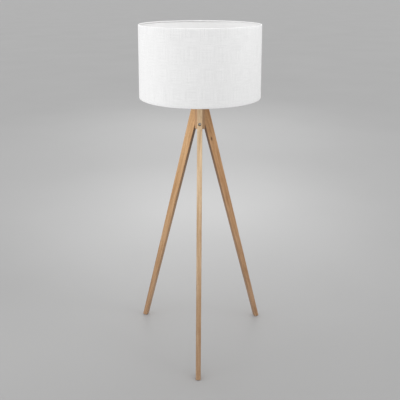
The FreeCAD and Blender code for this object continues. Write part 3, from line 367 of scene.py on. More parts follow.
def turned_beech(name):
    """Beech dowel, turned and left raw: pale pink-brown with short dark flecks and no gloss."""
    material, tree = new_material(name)
    point = add(tree, "ShaderNodeTexCoord", "Object")
    flecks = mottling(tree, point, 1.2 * MM, 1.2 * MM, 1.2 * MM, high=0.6)
    colour = add(tree, "ShaderNodeMix", COLOUR_RESULT, {
        FACTOR: flecks, COLOUR_A: linear("#D9B98F"), COLOUR_B: linear("#B98D5E")}, data_type="RGBA")
    surface(tree, flecks, 0.05 * MM, 0.4, base_color=colour, roughness=0.75, ior=1.5)
    return material


def woven_cotton(name, sizes, colours):
    """Cotton, plain-woven and bonded to the liner: crossing threads of uneven thickness.

    The weave gives a fine dry tooth, thicker slub threads draw faint level and upright lines, and
    the loose fibres give a weak sheen at the drum's sides.
    """
    material, tree = new_material(name)
    around = add(tree, "ShaderNodeUVMap", "UV", uv_map="metres")
    tremble = add(tree, "ShaderNodeTexNoise", "Color", {
        "Vector": around, "Scale": 1 / (9 * MM), "Detail": 2.0})
    offset = add(tree, "ShaderNodeVectorMath", 0, {
        0: tremble, 1: (0.6 * MM, 0.6 * MM, 0)}, operation="MULTIPLY")
    cloth = add(tree, "ShaderNodeVectorMath", 0, {0: around, 1: offset}, operation="ADD")
    warp, weft = (
        add(tree, "ShaderNodeTexWave", "Fac", {
            "Vector": cloth, "Scale": WAVE_REPEAT / sizes.thread_spacing},
            wave_type="BANDS", bands_direction=direction, wave_profile="SIN")
        for direction in ("X", "Y"))
    over = add(tree, "ShaderNodeTexChecker", "Fac", {
        "Vector": cloth, "Scale": 1 / sizes.thread_spacing})
    weave = add(tree, "ShaderNodeMix", "Result", {"Factor": over, "A": warp, "B": weft})
    # slub threads are one in a dozen, so they show at a distance where the weave itself doesn't
    level_slubs = mottling(tree, cloth, 60 * MM, 1.6 * MM, 1.0, detail=2.0)
    upright_slubs = mottling(tree, cloth, 1.8 * MM, 75 * MM, 1.0, detail=2.0)
    slubs = add(tree, "ShaderNodeMath", 0, {0: level_slubs, 1: upright_slubs}, operation="ADD")
    fullness = add(tree, "ShaderNodeMath", 0, {
        0: slubs, 1: 0.55, 2: weave}, operation="MULTIPLY_ADD")
    share = add(tree, "ShaderNodeMapRange", "Result", {"Value": fullness, "From Max": 1.6})
    # darker where the weave dips and the threads run thin: painted shade in the hollows between
    # threads
    colour = add(tree, "ShaderNodeMix", COLOUR_RESULT, {
        FACTOR: share, COLOUR_A: colours.fabric_shadow, COLOUR_B: colours.fabric}, data_type="RGBA")
    surface(tree, fullness, 0.12 * MM, 0.35, base_color=colour, roughness=0.9,
            sheen_weight=0.25, sheen_roughness=0.6, ior=1.46)
    return material


def calendered_liner(name, colours):
    """Styrene sheet, rolled matt: an even white with a faint pebble that breaks up reflections."""
    material, tree = new_material(name)
    point = add(tree, "ShaderNodeTexCoord", "Object")
    pebble = mottling(tree, point, 1.6 * MM, 1.6 * MM, 1.6 * MM, detail=2.0)
    clouds = mottling(tree, point, 60 * MM, 60 * MM, 60 * MM, high=0.5)
    colour = add(tree, "ShaderNodeMix", COLOUR_RESULT, {
        FACTOR: clouds, COLOUR_A: colours.liner, COLOUR_B: linear("#E6E6E6")}, data_type="RGBA")
    gloss = add(tree, "ShaderNodeMapRange", "Result", {
        "Value": pebble, "To Min": 0.5, "To Max": 0.64})
    surface(tree, pebble, 0.03 * MM, 0.3, base_color=colour, roughness=gloss, ior=1.55)
    return material


def coated_wire(name):
    """Steel wire, powder-coated white: soft gloss with the coating's orange peel."""
    material, tree = new_material(name)
    point = add(tree, "ShaderNodeTexCoord", "Object")
    peel = mottling(tree, point, 1.2 * MM, 1.2 * MM, 1.2 * MM, detail=1.0)
    clouds = mottling(tree, point, 18 * MM, 18 * MM, 18 * MM, high=0.6)
    colour = add(tree, "ShaderNodeMix", COLOUR_RESULT, {
        FACTOR: clouds, COLOUR_A: linear("#F1F0ED"), COLOUR_B: linear("#DEDCD6")}, data_type="RGBA")
    gloss = add(tree, "ShaderNodeMapRange", "Result", {
        "Value": peel, "To Min": 0.32, "To Max": 0.48})
    surface(tree, peel, 0.04 * MM, 0.4, base_color=colour, roughness=gloss, ior=1.5)
    return material


def plated_metal(name, bright, dull, rough, mark_width, mark_length):
    """Metal, plated or bare: reflections blurred by fine tool marks and clouded by handling."""
    material, tree = new_material(name)
    point = add(tree, "ShaderNodeTexCoord", "Object")
    marks = mottling(tree, point, mark_width, mark_width, mark_length, detail=2.0)
    clouds = mottling(tree, point, 7 * MM, 7 * MM, 7 * MM)
    colour = add(tree, "ShaderNodeMix", COLOUR_RESULT, {
        FACTOR: clouds, COLOUR_A: linear(bright), COLOUR_B: linear(dull)}, data_type="RGBA")
    worn = add(tree, "ShaderNodeMath", 0, {0: marks, 1: clouds}, operation="MULTIPLY")
    gloss = add(tree, "ShaderNodeMapRange", "Result", {
        "Value": worn, "To Min": rough, "To Max": rough + 0.25})
    surface(tree, marks, 0.02 * MM, 0.35, base_color=colour, metallic=1.0, roughness=gloss)
    return material


def moulded_plastic(name, bright, dull, rough, **sockets):
    """Thermoplastic, injection-moulded: even colour, fine spark-eroded grain, faint flow clouds."""
    material, tree = new_material(name)
    point = add(tree, "ShaderNodeTexCoord", "Object")
    grain = mottling(tree, point, 0.9 * MM, 0.9 * MM, 0.9 * MM, detail=2.0)
    clouds = mottling(tree, point, 14 * MM, 14 * MM, 14 * MM, high=0.7)
    colour = add(tree, "ShaderNodeMix", COLOUR_RESULT, {
        FACTOR: clouds, COLOUR_A: linear(bright), COLOUR_B: linear(dull)}, data_type="RGBA")
    gloss = add(tree, "ShaderNodeMapRange", "Result", {
        "Value": grain, "To Min": rough, "To Max": rough + 0.14})
    surface(tree, grain, 0.025 * MM, 0.3, base_color=colour, roughness=gloss, **sockets)
    return material


def fired_steatite(name):
    """Steatite, pressed and fired: ivory, matt, speckled with tiny iron spots."""
    material, tree = new_material(name)
    point = add(tree, "ShaderNodeTexCoord", "Object")
    from_speck = add(tree, "ShaderNodeTexVoronoi", "Distance", {
        "Vector": point, "Scale": 1 / (2.2 * MM)})
    spots = add(tree, "ShaderNodeMapRange", "Result", {
        "Value": from_speck, "From Min": 0.05, "From Max": 0.16, "To Min": 0.6, "To Max": 0.0})
    colour = add(tree, "ShaderNodeMix", COLOUR_RESULT, {
        FACTOR: spots, COLOUR_A: linear("#E4DCC8"), COLOUR_B: linear("#A08C6C")}, data_type="RGBA")
    grain = mottling(tree, point, 0.8 * MM, 0.8 * MM, 0.8 * MM)
    surface(tree, grain, 0.03 * MM, 0.5, base_color=colour, roughness=0.62, ior=1.57)
    return material


def printed_circuit(name, mask, track):
    """Circuit board under solder mask: glossy, with darker and lighter runs over its tracks."""
    material, tree = new_material(name)
    point = add(tree, "ShaderNodeTexCoord", "Object")
    tracks = add(tree, "ShaderNodeTexBrick", "Color", {
        "Vector": point, "Color1": linear(mask), "Color2": linear(track), "Mortar": linear(mask),
        "Scale": 1.0, "Mortar Size": 0.5 * MM, "Brick Width": 5 * MM, "Row Height": 1.7 * MM})
    grain = mottling(tree, point, 0.7 * MM, 0.7 * MM, 0.7 * MM)
    surface(tree, grain, 0.02 * MM, 0.3, base_color=tracks, roughness=0.3, ior=1.5)
    return material


def pressed_felt(name):
    """Wool felt, pressed: dark grey fibres of several shades, no gloss, a soft pale bloom."""
    material, tree = new_material(name)
    point = add(tree, "ShaderNodeTexCoord", "Object")
    tufts = mottling(tree, point, 0.9 * MM, 0.9 * MM, 0.9 * MM, detail=5.0)
    hairs = mottling(tree, point, 3 * MM, 0.4 * MM, 0.4 * MM)
    fuzz = add(tree, "ShaderNodeMath", 0, {0: tufts, 1: hairs}, operation="MULTIPLY")
    colour = add(tree, "ShaderNodeMix", COLOUR_RESULT, {
        FACTOR: fuzz, COLOUR_A: linear("#4A4846"), COLOUR_B: linear("#8A8681")}, data_type="RGBA")
    surface(tree, fuzz, 0.4 * MM, 0.8, base_color=colour, roughness=0.95,
            sheen_weight=0.5, sheen_roughness=0.5)
    return material


def cast_phosphor(name):
    """Silicone with phosphor, cast over a chip: egg-yolk yellow, slightly grainy, satin."""
    material, tree = new_material(name)
    point = add(tree, "ShaderNodeTexCoord", "Object")
    grains = mottling(tree, point, 0.5 * MM, 0.5 * MM, 0.5 * MM)
    colour = add(tree, "ShaderNodeMix", COLOUR_RESULT, {
        FACTOR: grains, COLOUR_A: linear("#E9C33F"), COLOUR_B: linear("#D9A92A")}, data_type="RGBA")
    surface(tree, grains, 0.04 * MM, base_color=colour, roughness=0.4, ior=1.41)
    return material


def rolled_concrete(name, colours):
    """Concrete, painted pale grey: matt, faintly clouded, with the paint roller's pebble."""
    material, tree = new_material(name)
    point = add(tree, "ShaderNodeTexCoord", "Object")
    clouds = mottling(tree, point, 1.4, 1.4, 1.4, detail=2.0)
    rolled = mottling(tree, point, 6 * MM, 6 * MM, 6 * MM, detail=2.0)
    tint = add(tree, "ShaderNodeMix", COLOUR_RESULT, {
        FACTOR: clouds, COLOUR_A: colours.floor, COLOUR_B: linear("#B3B3B3")}, data_type="RGBA")
    surface(tree, rolled, 0.1 * MM, 0.1, base_color=tint, roughness=0.9, specular_ior_level=0.2)
    return material


# --------------------------------------------------------------------------------------------------
# Meshes
# --------------------------------------------------------------------------------------------------
def even_angles(count, extra=()):
    """Evenly spaced angles from nought to a full turn, with extra ones sorted in."""
    even = {i * math.tau / count for i in range(count + 1)}
    return sorted(even | {angle % math.tau for angle in extra})


def smooth_mesh(mesh, sharp=math.radians(38)):
    """Shade smoothly, apart from edges that bend by more than the sharp angle."""
    shape = bmesh.new()
    shape.from_mesh(mesh)
    bmesh.ops.remove_doubles(shape, verts=shape.verts, dist=0.002 * MM)
    bmesh.ops.recalc_face_normals(shape, faces=shape.faces)
    for face in shape.faces:
        face.smooth = True
    for edge in shape.edges:
        edge.smooth = edge.calc_face_angle(0.0) < sharp
    shape.to_mesh(mesh)
    shape.free()


def turned(name, profile_at, angles, uv_radius=0.0):
    """Closed profile swept round the axis; profile_at(angle) gives its (across, up) points."""
    columns = [profile_at(angle) for angle in angles]
    rows = len(columns[0])
    vertices = []
    for angle, column in zip(angles, columns):
        direction = Vector((math.cos(angle), math.sin(angle), 0))
        vertices.extend(direction * across + Vector((0, 0, up)) for across, up in column)
    faces = []
    corners = []
    for i in range(len(angles) - 1):
        for j in range(rows):
            above = (j + 1) % rows
            quad = ((i, j), (i + 1, j), (i + 1, above), (i, above))
            faces.append([column * rows + row for column, row in quad])
            corners.extend(
                (angles[column] * uv_radius, columns[column][row][1]) for column, row in quad)
    mesh = bpy.data.meshes.new(name)
    mesh.from_pydata(vertices, [], faces)
    layer = mesh.uv_layers.new(name="metres")
    for loop, corner in zip(layer.data, corners):
        loop.uv = corner
    smooth_mesh(mesh)
    return mesh


def lofted(name, outlines):
    """Solid skinned over a stack of outlines of as many points each, closed at both ends."""
    count = len(outlines[0])
    vertices = [point for outline in outlines for point in outline]
    faces = [list(range(count))[::-1], [len(vertices) - count + i for i in range(count)]]
    for low in range(0, len(vertices) - count, count):
        for i in range(count):
            after = (i + 1) % count
            faces.append([low + i, low + after, low + count + after, low + count + i])
    mesh = bpy.data.meshes.new(name)
    mesh.from_pydata(vertices, [], faces)
    smooth_mesh(mesh)
    return mesh


def place(name, mesh, material, body, slot, *replaced):
    """Add a mesh to the lamp as a piece that rides on a body."""
    mesh.materials.append(material)
    piece = bpy.data.objects.new(name, mesh)
    bpy.context.scene.collection.objects.link(piece)
    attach(piece, body)
    if replaced:
        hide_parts(*replaced)


def coat(node, material):
    """Give a carried-over node its finished material."""
    mesh = NODES[node].data
    mesh.materials.clear()
    mesh.materials.append(material)


# --------------------------------------------------------------------------------------------------
# Shapes of the pieces
# --------------------------------------------------------------------------------------------------
def wall_share(up):
    """How far up the wall a level is: 0 at the lower wire, 1 at the upper."""
    return (up - BOTTOM_RING) / (TOP_RING - BOTTOM_RING)


def wall_line(up):
    """Radius of the line from wire to wire at a level."""
    return BOTTOM_RING_RADIUS + wall_share(up) * (TOP_RING_RADIUS - BOTTOM_RING_RADIUS)


def drum_wave(angle, up):
    """How far the drum's wall stands off a true cone: nothing at the ring wires."""
    waves_round, waves_up, depth = 1.6, 5, 0.45 * MM
    on_wall = Vector((math.cos(angle) * waves_round, math.sin(angle) * waves_round, up * waves_up))
    return noise.noise(on_wall) * math.sin(math.pi * wall_share(up)) * depth


def seam_lap(angle, width):
    """Share of the seam's overlap at an angle: 1 on the lap, 0 off it."""
    along = (angle - SEAM_AZIMUTH) * SHADE_RADIUS
    if along < 0:
        return max(0.0, 1 + along / SEAM_SLOPE)
    return max(0.0, min(1.0, 1 - (along - width) / SEAM_END))


def near_arm(angle):
    """Distance along the ring wire to the nearest arm."""
    gaps = [(angle - arm + math.pi) % math.tau - math.pi for arm in ARM_AZIMUTHS]
    return min(abs(gap) for gap in gaps) * BOTTOM_RING_RADIUS


def fabric_profile(angle, sizes):
    """Section of the fabric: the wall, and the edges rolled inwards round both ring wires."""
    lap = seam_lap(angle, sizes.seam_width) * sizes.fabric_thickness
    # gathers where the wider edge is folded on to the narrower inside of the ring
    gathers_round, gather_turn, pucker_depth = 60, 0.12, 0.1 * MM
    gather = noise.noise(
        Vector((math.cos(angle) * gathers_round, math.sin(angle) * gathers_round, 0)))
    top_turn = sizes.roll_turn + gather * gather_turn
    low_turn = sizes.roll_turn - gather * gather_turn
    # the edge is snipped at each arm and folded short of it
    snipped_turn = math.radians(100)
    uncut = min(1.0, max(0.0, (near_arm(angle) - SNIP_HALF_WIDTH) / SNIP_RUN_OUT))
    low_turn += (snipped_turn - low_turn) * (1 - uncut)

    def rolled(radius, pucker_share, turn):
        """Point of a skin round a wire, outwards and along the turn from the wire's middle."""
        pucker = gather * pucker_depth * max(0.0, -math.cos(turn)) * pucker_share
        return (radius + pucker) * math.cos(turn), (radius + pucker) * math.sin(turn)

    def skin(radius, pucker_share):
        """One side of the fabric, from the end of its lower edge to the end of its upper edge."""
        points = []
        for step in range(ROLL_STEPS):
            out, along = rolled(radius, pucker_share, low_turn * (1 - step / ROLL_STEPS))
            points.append((BOTTOM_RING_RADIUS + out, BOTTOM_RING - along))
        for up in WALL_LEVELS:
            points.append((wall_line(up) + radius + drum_wave(angle, up), up))
        for step in range(1, ROLL_STEPS + 1):
            out, along = rolled(radius, pucker_share, top_turn * step / ROLL_STEPS)
            points.append((TOP_RING_RADIUS + out, TOP_RING + along))
        return points

    outer = skin(ROLL_RADIUS + lap, 1.0)
    inner = skin(ROLL_RADIUS - sizes.fabric_thickness, 0.6)
    return outer + inner[::-1]


def liner_profile(angle, sizes):
    """Section of the liner: flat against the ring wires' outsides, cut level at their middles."""
    outside = ROLL_RADIUS - sizes.fabric_thickness
    inside = outside - sizes.liner_thickness
    # the lap's inner edge shows inside as a fine step
    step_height = 0.12 * MM
    step = seam_lap(angle, sizes.seam_width) * step_height
    outer = []
    inner = []
    for row, up in enumerate(WALL_LEVELS):
        wall = wall_line(up) + drum_wave(angle, up)
        outer.append((wall + outside, up))
        inner.append((wall + inside - (step if 0 < row < WALL_ROWS else 0), up))
    return outer + inner[::-1]


def tube_profile(angle, sizes):
    """Section of the threaded tube; its rows climb one pitch in a turn, so they wind a helix."""
    low, high = levels("stem_tube")
    crest = reach("stem_tube")
    bore = nearest("stem_tube")
    # corners of one ridge and groove: share of the pitch, share of the thread's depth
    thread = ((0.0, 0.0), (0.12, 0.0), (0.5, 1.0), (0.62, 1.0))
    end_chamfer = 0.6 * MM
    pitch = sizes.tube_pitch
    climb = pitch * angle / math.tau
    outside = []
    for turn in range(-1, math.ceil((high - low) / pitch) + 1):
        for share, cut in thread:
            up = min(high, max(low, low + (turn + share) * pitch + climb))
            # the ends are cut square and their first ridges taken down by a chamfer
            chamfer = max(0.0, end_chamfer - min(up - low, high - up))
            outside.append((crest - max(cut * sizes.tube_thread_depth, chamfer), up))
    return outside + [(bore, high), (bore, low)]


def weld_bead(mesh, centre, size, turn):
    """Add one bead of weld metal: a drop pulled out along the joint, rippled where it froze.

    size holds its half-sizes outwards, along the joint and upwards.
    """
    ripples, ripple_share = 9, 0.1
    lumps, lump_share = 2, 0.12
    # the noise is read at another place for each bead, so that no two are alike
    beads_apart = 900
    made = bmesh.ops.create_icosphere(mesh, subdivisions=3, radius=1.0)["verts"]
    upright = Matrix.Rotation(turn, 3, "Z")
    for vertex in made:
        ripple = ripple_share * math.sin(vertex.co.y * ripples)
        lump = lump_share * noise.noise(vertex.co * lumps + centre * beads_apart)
        swell = 1 + ripple + lump
        vertex.co = centre + upright @ Vector(c * s * swell for c, s in zip(vertex.co, size))


def soft_pad_outlines(pad):
    """Outlines of a felt disc of the pad's plan: worn round below, its cut edge furred."""
    low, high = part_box(pad)
    centre = (low + high) / 2
    upright = Matrix.Rotation(-azimuth_of(pad), 3, "Z")
    plan = [upright @ (v.co - centre) for v in NODES[pad].data.vertices]
    half_x, half_y = max(p.x for p in plan), max(p.y for p in plan)
    thick = high.z - low.z
    # from the underside round the edge to the top: share of the plan, share of the thickness
    rise = ((0.34, 0.0), (0.7, 0.0), (0.93, 0.0), (0.975, 0.12), (1.0, 0.4), (1.005, 0.62),
            (0.99, 0.85), (0.95, 0.97), (0.7, 1.0), (0.34, 1.0))
    points, squareness = 72, 5
    furred_from, tufts_round, tufts_up, fur_length = 0.9, 14, 4, 0.16 * MM
    outlines = []
    for share, up in rise:
        outline = []
        for i in range(points):
            angle = i * math.tau / points
            c, s = math.cos(angle), math.sin(angle)
            # a squarish oval: straight sides with rounded corners
            square = (abs(c) ** squareness + abs(s) ** squareness) ** (-1 / squareness)
            fur = 0.0
            if share > furred_from:
                fur = fur_length * noise.noise(
                    Vector((c * tufts_round, s * tufts_round, up * tufts_up)))
            point = Vector((c * square * half_x * share + c * fur,
                            s * square * half_y * share + s * fur,
                            up * thick - thick / 2))
            outline.append(centre + upright.inverted() @ point)
        outlines.append(outline)
    return outlines


# --------------------------------------------------------------------------------------------------
# Stage
# --------------------------------------------------------------------------------------------------
def make_floor(scene, colours):
    """Level floor that reaches past the horizon."""
    half = 90.0
    corners = [(-half, -half, 0), (half, -half, 0), (half, half, 0), (-half, half, 0)]
    mesh = bpy.data.meshes.new("floor")
    mesh.from_pydata(corners, [], [(0, 1, 2, 3)])
    mesh.materials.append(rolled_concrete("Painted concrete, rolled pale grey", colours))
    floor = bpy.data.objects.new("floor", mesh)
    scene.collection.objects.link(floor)


def make_room(scene, surround):
    """White room all round, of the given brightness."""
    world = bpy.data.worlds.new("Studio")
    world.use_nodes = True
    world.node_tree.nodes["Background"].inputs["Color"].default_value = (1, 1, 1, 1)
    world.node_tree.nodes["Background"].inputs["Strength"].default_value = surround
    scene.world = world
    scene.view_settings.view_transform = "Standard"


def make_softbox(scene, name, spot, aim, side, spread, power):
    """Square light with a grid, standing at a spot and pointed at an aim."""
    data = bpy.data.lights.new(name, "AREA")
    data.shape = "SQUARE"
    data.size = side
    data.spread = math.radians(spread)
    data.energy = power
    source = bpy.data.objects.new(name, data)
    source.location = spot
    source.rotation_euler = (Vector(aim) - Vector(spot)).to_track_quat("-Z", "Y").to_euler()
    source.visible_camera = False
    scene.collection.objects.link(source)


def make_camera(scene):
    """Camera in front of the lamp, a little above the shade and tilted down."""
    lens, film_width, farthest = 48.18, 36.0, 200.0
    distance, height = 2.2505, 1.62
    pan, dip = math.radians(1.33), math.radians(21.77)
    data = bpy.data.cameras.new("camera")
    data.lens = lens
    data.sensor_width = film_width
    data.clip_end = farthest
    camera = bpy.data.objects.new("camera", data)
    camera.location = (distance * math.sin(pan), -distance * math.cos(pan), height)
    camera.rotation_euler = (math.pi / 2 - dip, 0, pan)
    scene.collection.objects.link(camera)
    scene.camera = camera


# --------------------------------------------------------------------------------------------------
# Operators
# --------------------------------------------------------------------------------------------------
def sizes_and_colours(context):
    """The scene's sizes and colours of the lamp."""
    return context.scene.lamp_sizes, context.scene.lamp_colours


class LAMP_OT_wood(bpy.types.Operator):
    """Give the legs, the hub and its dowels their wood"""

    bl_idname = "lamp.wood"
    bl_label = "Legs and Hub"

    def execute(self, context):
        sizes, colours = sizes_and_colours(context)
        # each board comes from another place in the log: the pith's place beside it, the tints at
        # its foot and at its top, and its knot's place. The tints also paint light and shade: the
        # legs lighter towards the top and darker towards the foot, the front leg's top paler as a
        # painted highlight, and the rear right leg darker as painted shade
        boards = {
            "leg_front": ((34 * MM, 16 * MM), (0.81, 0.77, 0.84), (1.32, 1.48, 1.75), None),
            "leg_rear_right": ((-22 * MM, 30 * MM), (0.87, 0.8, 0.87), (1.02, 0.89, 0.81),
                               (-12 * MM, -10.7 * MM, 440 * MM)),
            "leg_rear_left": ((-40 * MM, -12 * MM), (0.98, 0.91, 0.97), (1.24, 1.17, 1.11), None),
            "hub_block": ((26 * MM, -30 * MM), (0.98, 0.9, 0.92), (0.98, 0.9, 0.92), None),
        }
        for node, (pith, foot_tint_and_shade, top_tint_and_light, knot) in boards.items():
            name = "Ash, planed and lacquered, " + node.replace("_", " ")
            coat(node, lacquered_ash(name, node, sizes, colours, pith, foot_tint_and_shade, top_tint_and_light, knot))
        coat("locating_dowels", turned_beech("Beech, turned"))
        return {"FINISHED"}


class LAMP_OT_fixings(bpy.types.Operator):
    """Give the bolts, nuts and washers their plating"""

    bl_idname = "lamp.fixings"
    bl_label = "Fixings"

    def execute(self, context):
        zinc = plated_metal("Steel, zinc-plated", "#C9CBCD", "#A9ACAF", 0.26, 0.6 * MM, 4 * MM)
        for node in ("leg_bolts", "leg_bolt_washers", "threaded_inserts", "stem_lower_nut",
                     "stem_upper_nut", "stem_lower_washer", "stem_upper_washer",
                     "lampholder_grub_screw"):
            coat(node, zinc)
        return {"FINISHED"}


class LAMP_OT_foot_pads(bpy.types.Operator):
    """Make the felt pads under the legs"""

    bl_idname = "lamp.foot_pads"
    bl_label = "Foot Pads"

    def execute(self, context):
        felt = pressed_felt("Wool felt, pressed")
        for pad in FOOT_PADS:
            piece = pad.replace("foot_pad", "felt_pad")
            place(piece, lofted(piece, soft_pad_outlines(pad)), felt, "stand", "felt", pad)
        return {"FINISHED"}


class LAMP_OT_stem(bpy.types.Operator):
    """Make the threaded tube and give the lead bush its finish"""

    bl_idname = "lamp.stem"
    bl_label = "Threaded Tube"

    def execute(self, context):
        sizes, _ = sizes_and_colours(context)
        columns = 40
        steel = plated_metal("Steel tube, thread rolled and zinc-plated", "#C4C6C8", "#9EA1A4", 0.3,
                             0.8 * MM, 0.8 * MM)
        mesh = turned(
            "threaded_tube", lambda angle: tube_profile(angle, sizes), even_angles(columns))
        place("threaded_tube", mesh, steel, "stand", "zinc_steel", "stem_tube")
        nylon = moulded_plastic("Nylon, moulded white", "#E9E8E4", "#DDDBD5", 0.36, ior=1.53)
        coat("lead_bush", nylon)
        return {"FINISHED"}


class LAMP_OT_lampholder(bpy.types.Operator):
    """Give the lampholder's shells, insulator and contacts their finishes"""

    bl_idname = "lamp.lampholder"
    bl_label = "Lampholder"

    def execute(self, context):
        thermoplastic = moulded_plastic("PBT, moulded white", "#EEEDE9", "#E2E0DA", 0.3, ior=1.55)
        brass = plated_metal("Brass, pressed", "#D9B869", "#B8924A", 0.28, 1.5 * MM, 1.5 * MM)
        steatite = fired_steatite("Steatite, fired")
        finishes = {
            "lampholder_cap": thermoplastic, "lampholder_sleeve": thermoplastic,
            "shade_retaining_ring": thermoplastic, "lampholder_core": steatite,
            "lampholder_screw_shell": brass, "lampholder_centre_contact": brass,
            "lampholder_terminals": brass,
        }
        for node, finish in finishes.items():
            coat(node, finish)
        return {"FINISHED"}


class LAMP_OT_bulb(bpy.types.Operator):
    """Give the bulb's parts their finishes"""

    bl_idname = "lamp.bulb"
    bl_label = "Bulb"

    def execute(self, context):
        nickel = plated_metal("Aluminium, rolled and nickel-plated", "#D8D6D1", "#B9B6B0", 0.22,
                              0.5 * MM, 3 * MM)
        finishes = {
            # the globe's resin is milky, so its edges glow a little where light passes through
            "bulb_diffuser": moulded_plastic(
                "Opal polycarbonate, blow-moulded", "#F4F3F0", "#EBEAE6", 0.34,
                subsurface_weight=0.15, subsurface_radius=(3 * MM, 3 * MM, 2.6 * MM),
                subsurface_scale=1.0, ior=1.58),
            "bulb_housing": moulded_plastic(
                "PBT, moulded matt", "#ECEBE8", "#DFDDD8", 0.45, ior=1.55),
            "bulb_screw_cap": nickel,
            "bulb_centre_contact": nickel,
            "bulb_insulator": moulded_plastic(
                "Black glass, pressed", "#0D0D10", "#1B1B20", 0.12, ior=1.52),
            "bulb_led_board": printed_circuit("Aluminium board, white mask", "#ECEBE6", "#D8D6CF"),
            "bulb_driver_board": printed_circuit(
                "Glass-epoxy board, green mask", "#1D5B31", "#2F7A45"),
            "bulb_leds": cast_phosphor("Phosphor silicone, cast"),
        }
        for node, finish in finishes.items():
            coat(node, finish)
        return {"FINISHED"}


class LAMP_OT_shade_cover(bpy.types.Operator):
    """Make the shade's fabric and the stiff liner behind it"""

    bl_idname = "lamp.shade_cover"
    bl_label = "Shade Cover"

    def execute(self, context):
        sizes, colours = sizes_and_colours(context)
        columns = 480
        seam_edges = [SEAM_AZIMUTH + along / SHADE_RADIUS for along in
                      (-SEAM_SLOPE, 0, sizes.seam_width, sizes.seam_width + SEAM_END)]
        snips = [arm + side * along / BOTTOM_RING_RADIUS for arm in ARM_AZIMUTHS for side in (-1, 1)
                 for along in (SNIP_HALF_WIDTH, SNIP_HALF_WIDTH + SNIP_RUN_OUT)]
        angles = even_angles(columns, seam_edges + snips)
        fabric = turned(
            "shade_cover_fabric", lambda angle: fabric_profile(angle, sizes), angles, SHADE_RADIUS)
        cotton = woven_cotton("Cotton, plain-woven white", sizes, colours)
        place("shade_cover_fabric", fabric, cotton, "shade", "shade_fabric", "shade_fabric")
        liner = turned(
            "shade_stiff_liner", lambda angle: liner_profile(angle, sizes), angles, SHADE_RADIUS)
        styrene = calendered_liner("Styrene sheet, calendered matt", colours)
        place("shade_stiff_liner", liner, styrene, "shade", "shade_liner", "shade_liner")
        return {"FINISHED"}


class LAMP_OT_shade_wires(bpy.types.Operator):
    """Coat the shade's wires and make the weld beads that join them"""

    bl_idname = "lamp.shade_wires"
    bl_label = "Shade Wires"

    def execute(self, context):
        white = coated_wire("Steel wire, powder-coated white")
        for node in ("shade_top_ring", "shade_bottom_ring", "shade_carrier_ring",
                     "shade_spider_arms"):
            coat(node, white)
        ring_bead = (1.3 * MM, 2.7 * MM, 1.35 * MM)
        arm_bead = (2.4 * MM, 0.85 * MM, 0.75 * MM)
        arm_bead_inset, arm_bead_aside, arm_bead_rise = 2.6 * MM, 1.35 * MM, 0.35 * MM
        mesh = bpy.data.meshes.new("weld_beads")
        beads = bmesh.new()
        carrier_top = levels("shade_carrier_ring")[1]
        carrier_edge = reach("shade_carrier_ring")
        for arm in ARM_AZIMUTHS:
            outward = Vector((math.cos(arm), math.sin(arm), 0))
            sideways = Vector((-outward.y, outward.x, 0))
            arm_end = outward * (BOTTOM_RING_RADIUS - WIRE_RADIUS)
            weld_bead(beads, arm_end + Vector((0, 0, BOTTOM_RING)), ring_bead, arm)
            arm_start = outward * (carrier_edge - arm_bead_inset)
            arm_start.z = carrier_top + arm_bead_rise
            for side in (-1, 1):
                weld_bead(beads, arm_start + sideways * side * arm_bead_aside, arm_bead, arm)
        beads.to_mesh(mesh)
        beads.free()
        smooth_mesh(mesh)
        place("weld_beads", mesh, white, "shade", "white_painted_wire")
        return {"FINISHED"}


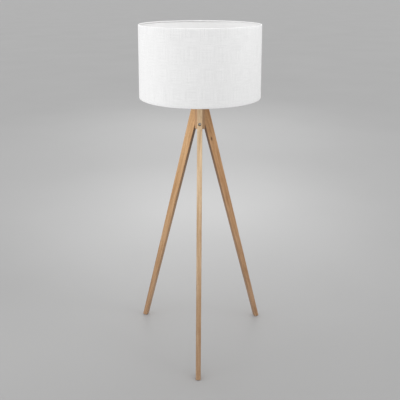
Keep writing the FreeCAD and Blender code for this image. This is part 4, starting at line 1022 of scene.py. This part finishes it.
class LAMP_OT_stage(bpy.types.Operator):
    """Make the floor, the studio lights and the camera"""

    bl_idname = "lamp.stage"
    bl_label = "Stage"

    def execute(self, context):
        scene = context.scene
        light = scene.lamp_light
        _, colours = sizes_and_colours(context)
        make_floor(scene, colours)
        make_room(scene, light.surround)
        # name, place, point aimed at, side, spread in degrees, power
        softboxes = (
            ("front", (-0.7, -2.9, 2.0), (0, 0, 1.4), 1.3, 50, light.front),
            ("left", (-2.6, -0.9, 1.7), (0, 0, 1.38), 1.2, 50, light.left),
            ("right", (1.9, -0.7, 2.9), (0, 0, 1.5), 1.0, 45, light.right),
            ("backdrop", (0, 2.0, 2.9), (0, 1.55, 0), 0.8, 60, light.backdrop),
            ("distance", (-0.1, 4.2, 3.8), (-0.1, 3.7, 0), 1.5, 75, light.distance),
        )
        for softbox in softboxes:
            make_softbox(scene, *softbox)
        make_camera(scene)
        return {"FINISHED"}


PIECE_OPERATORS = (
    LAMP_OT_wood, LAMP_OT_fixings, LAMP_OT_foot_pads, LAMP_OT_stem, LAMP_OT_lampholder,
    LAMP_OT_bulb, LAMP_OT_shade_cover, LAMP_OT_shade_wires, LAMP_OT_stage,
)


class LAMP_PT_panel(bpy.types.Panel):
    """Lists the lamp's sizes, colours, lights and pieces"""

    bl_idname = "LAMP_PT_panel"
    bl_label = "Tripod Floor Lamp"
    bl_space_type = "VIEW_3D"
    bl_region_type = "UI"
    bl_category = "Lamp"

    def draw(self, context):
        for name in PROPERTY_GROUPS:
            box = self.layout.box()
            group = getattr(context.scene, name)
            for prop in group.bl_rna.properties:
                if prop.identifier not in ("rna_type", "name"):
                    box.prop(group, prop.identifier)
        for operator in PIECE_OPERATORS:
            self.layout.operator(operator.bl_idname)


PROPERTY_GROUPS = {"lamp_sizes": LampSizes, "lamp_colours": LampColours, "lamp_light": LampLight}
CLASSES = (*PROPERTY_GROUPS.values(), *PIECE_OPERATORS, LAMP_PT_panel)


def register():
    """Register the classes and hang the property groups on the scene."""
    for cls in CLASSES:
        bpy.utils.register_class(cls)
    for name, group in PROPERTY_GROUPS.items():
        setattr(bpy.types.Scene, name, bpy.props.PointerProperty(type=group))


def unregister():
    """Take away what register added."""
    for name in PROPERTY_GROUPS:
        delattr(bpy.types.Scene, name)
    for cls in reversed(CLASSES):
        bpy.utils.unregister_class(cls)


def main():
    """Register, and build every piece."""
    register()
    for operator in PIECE_OPERATORS:
        family, verb = operator.bl_idname.split(".")
        getattr(getattr(bpy.ops, family), verb)()


if __name__ == "__main__":
    main()
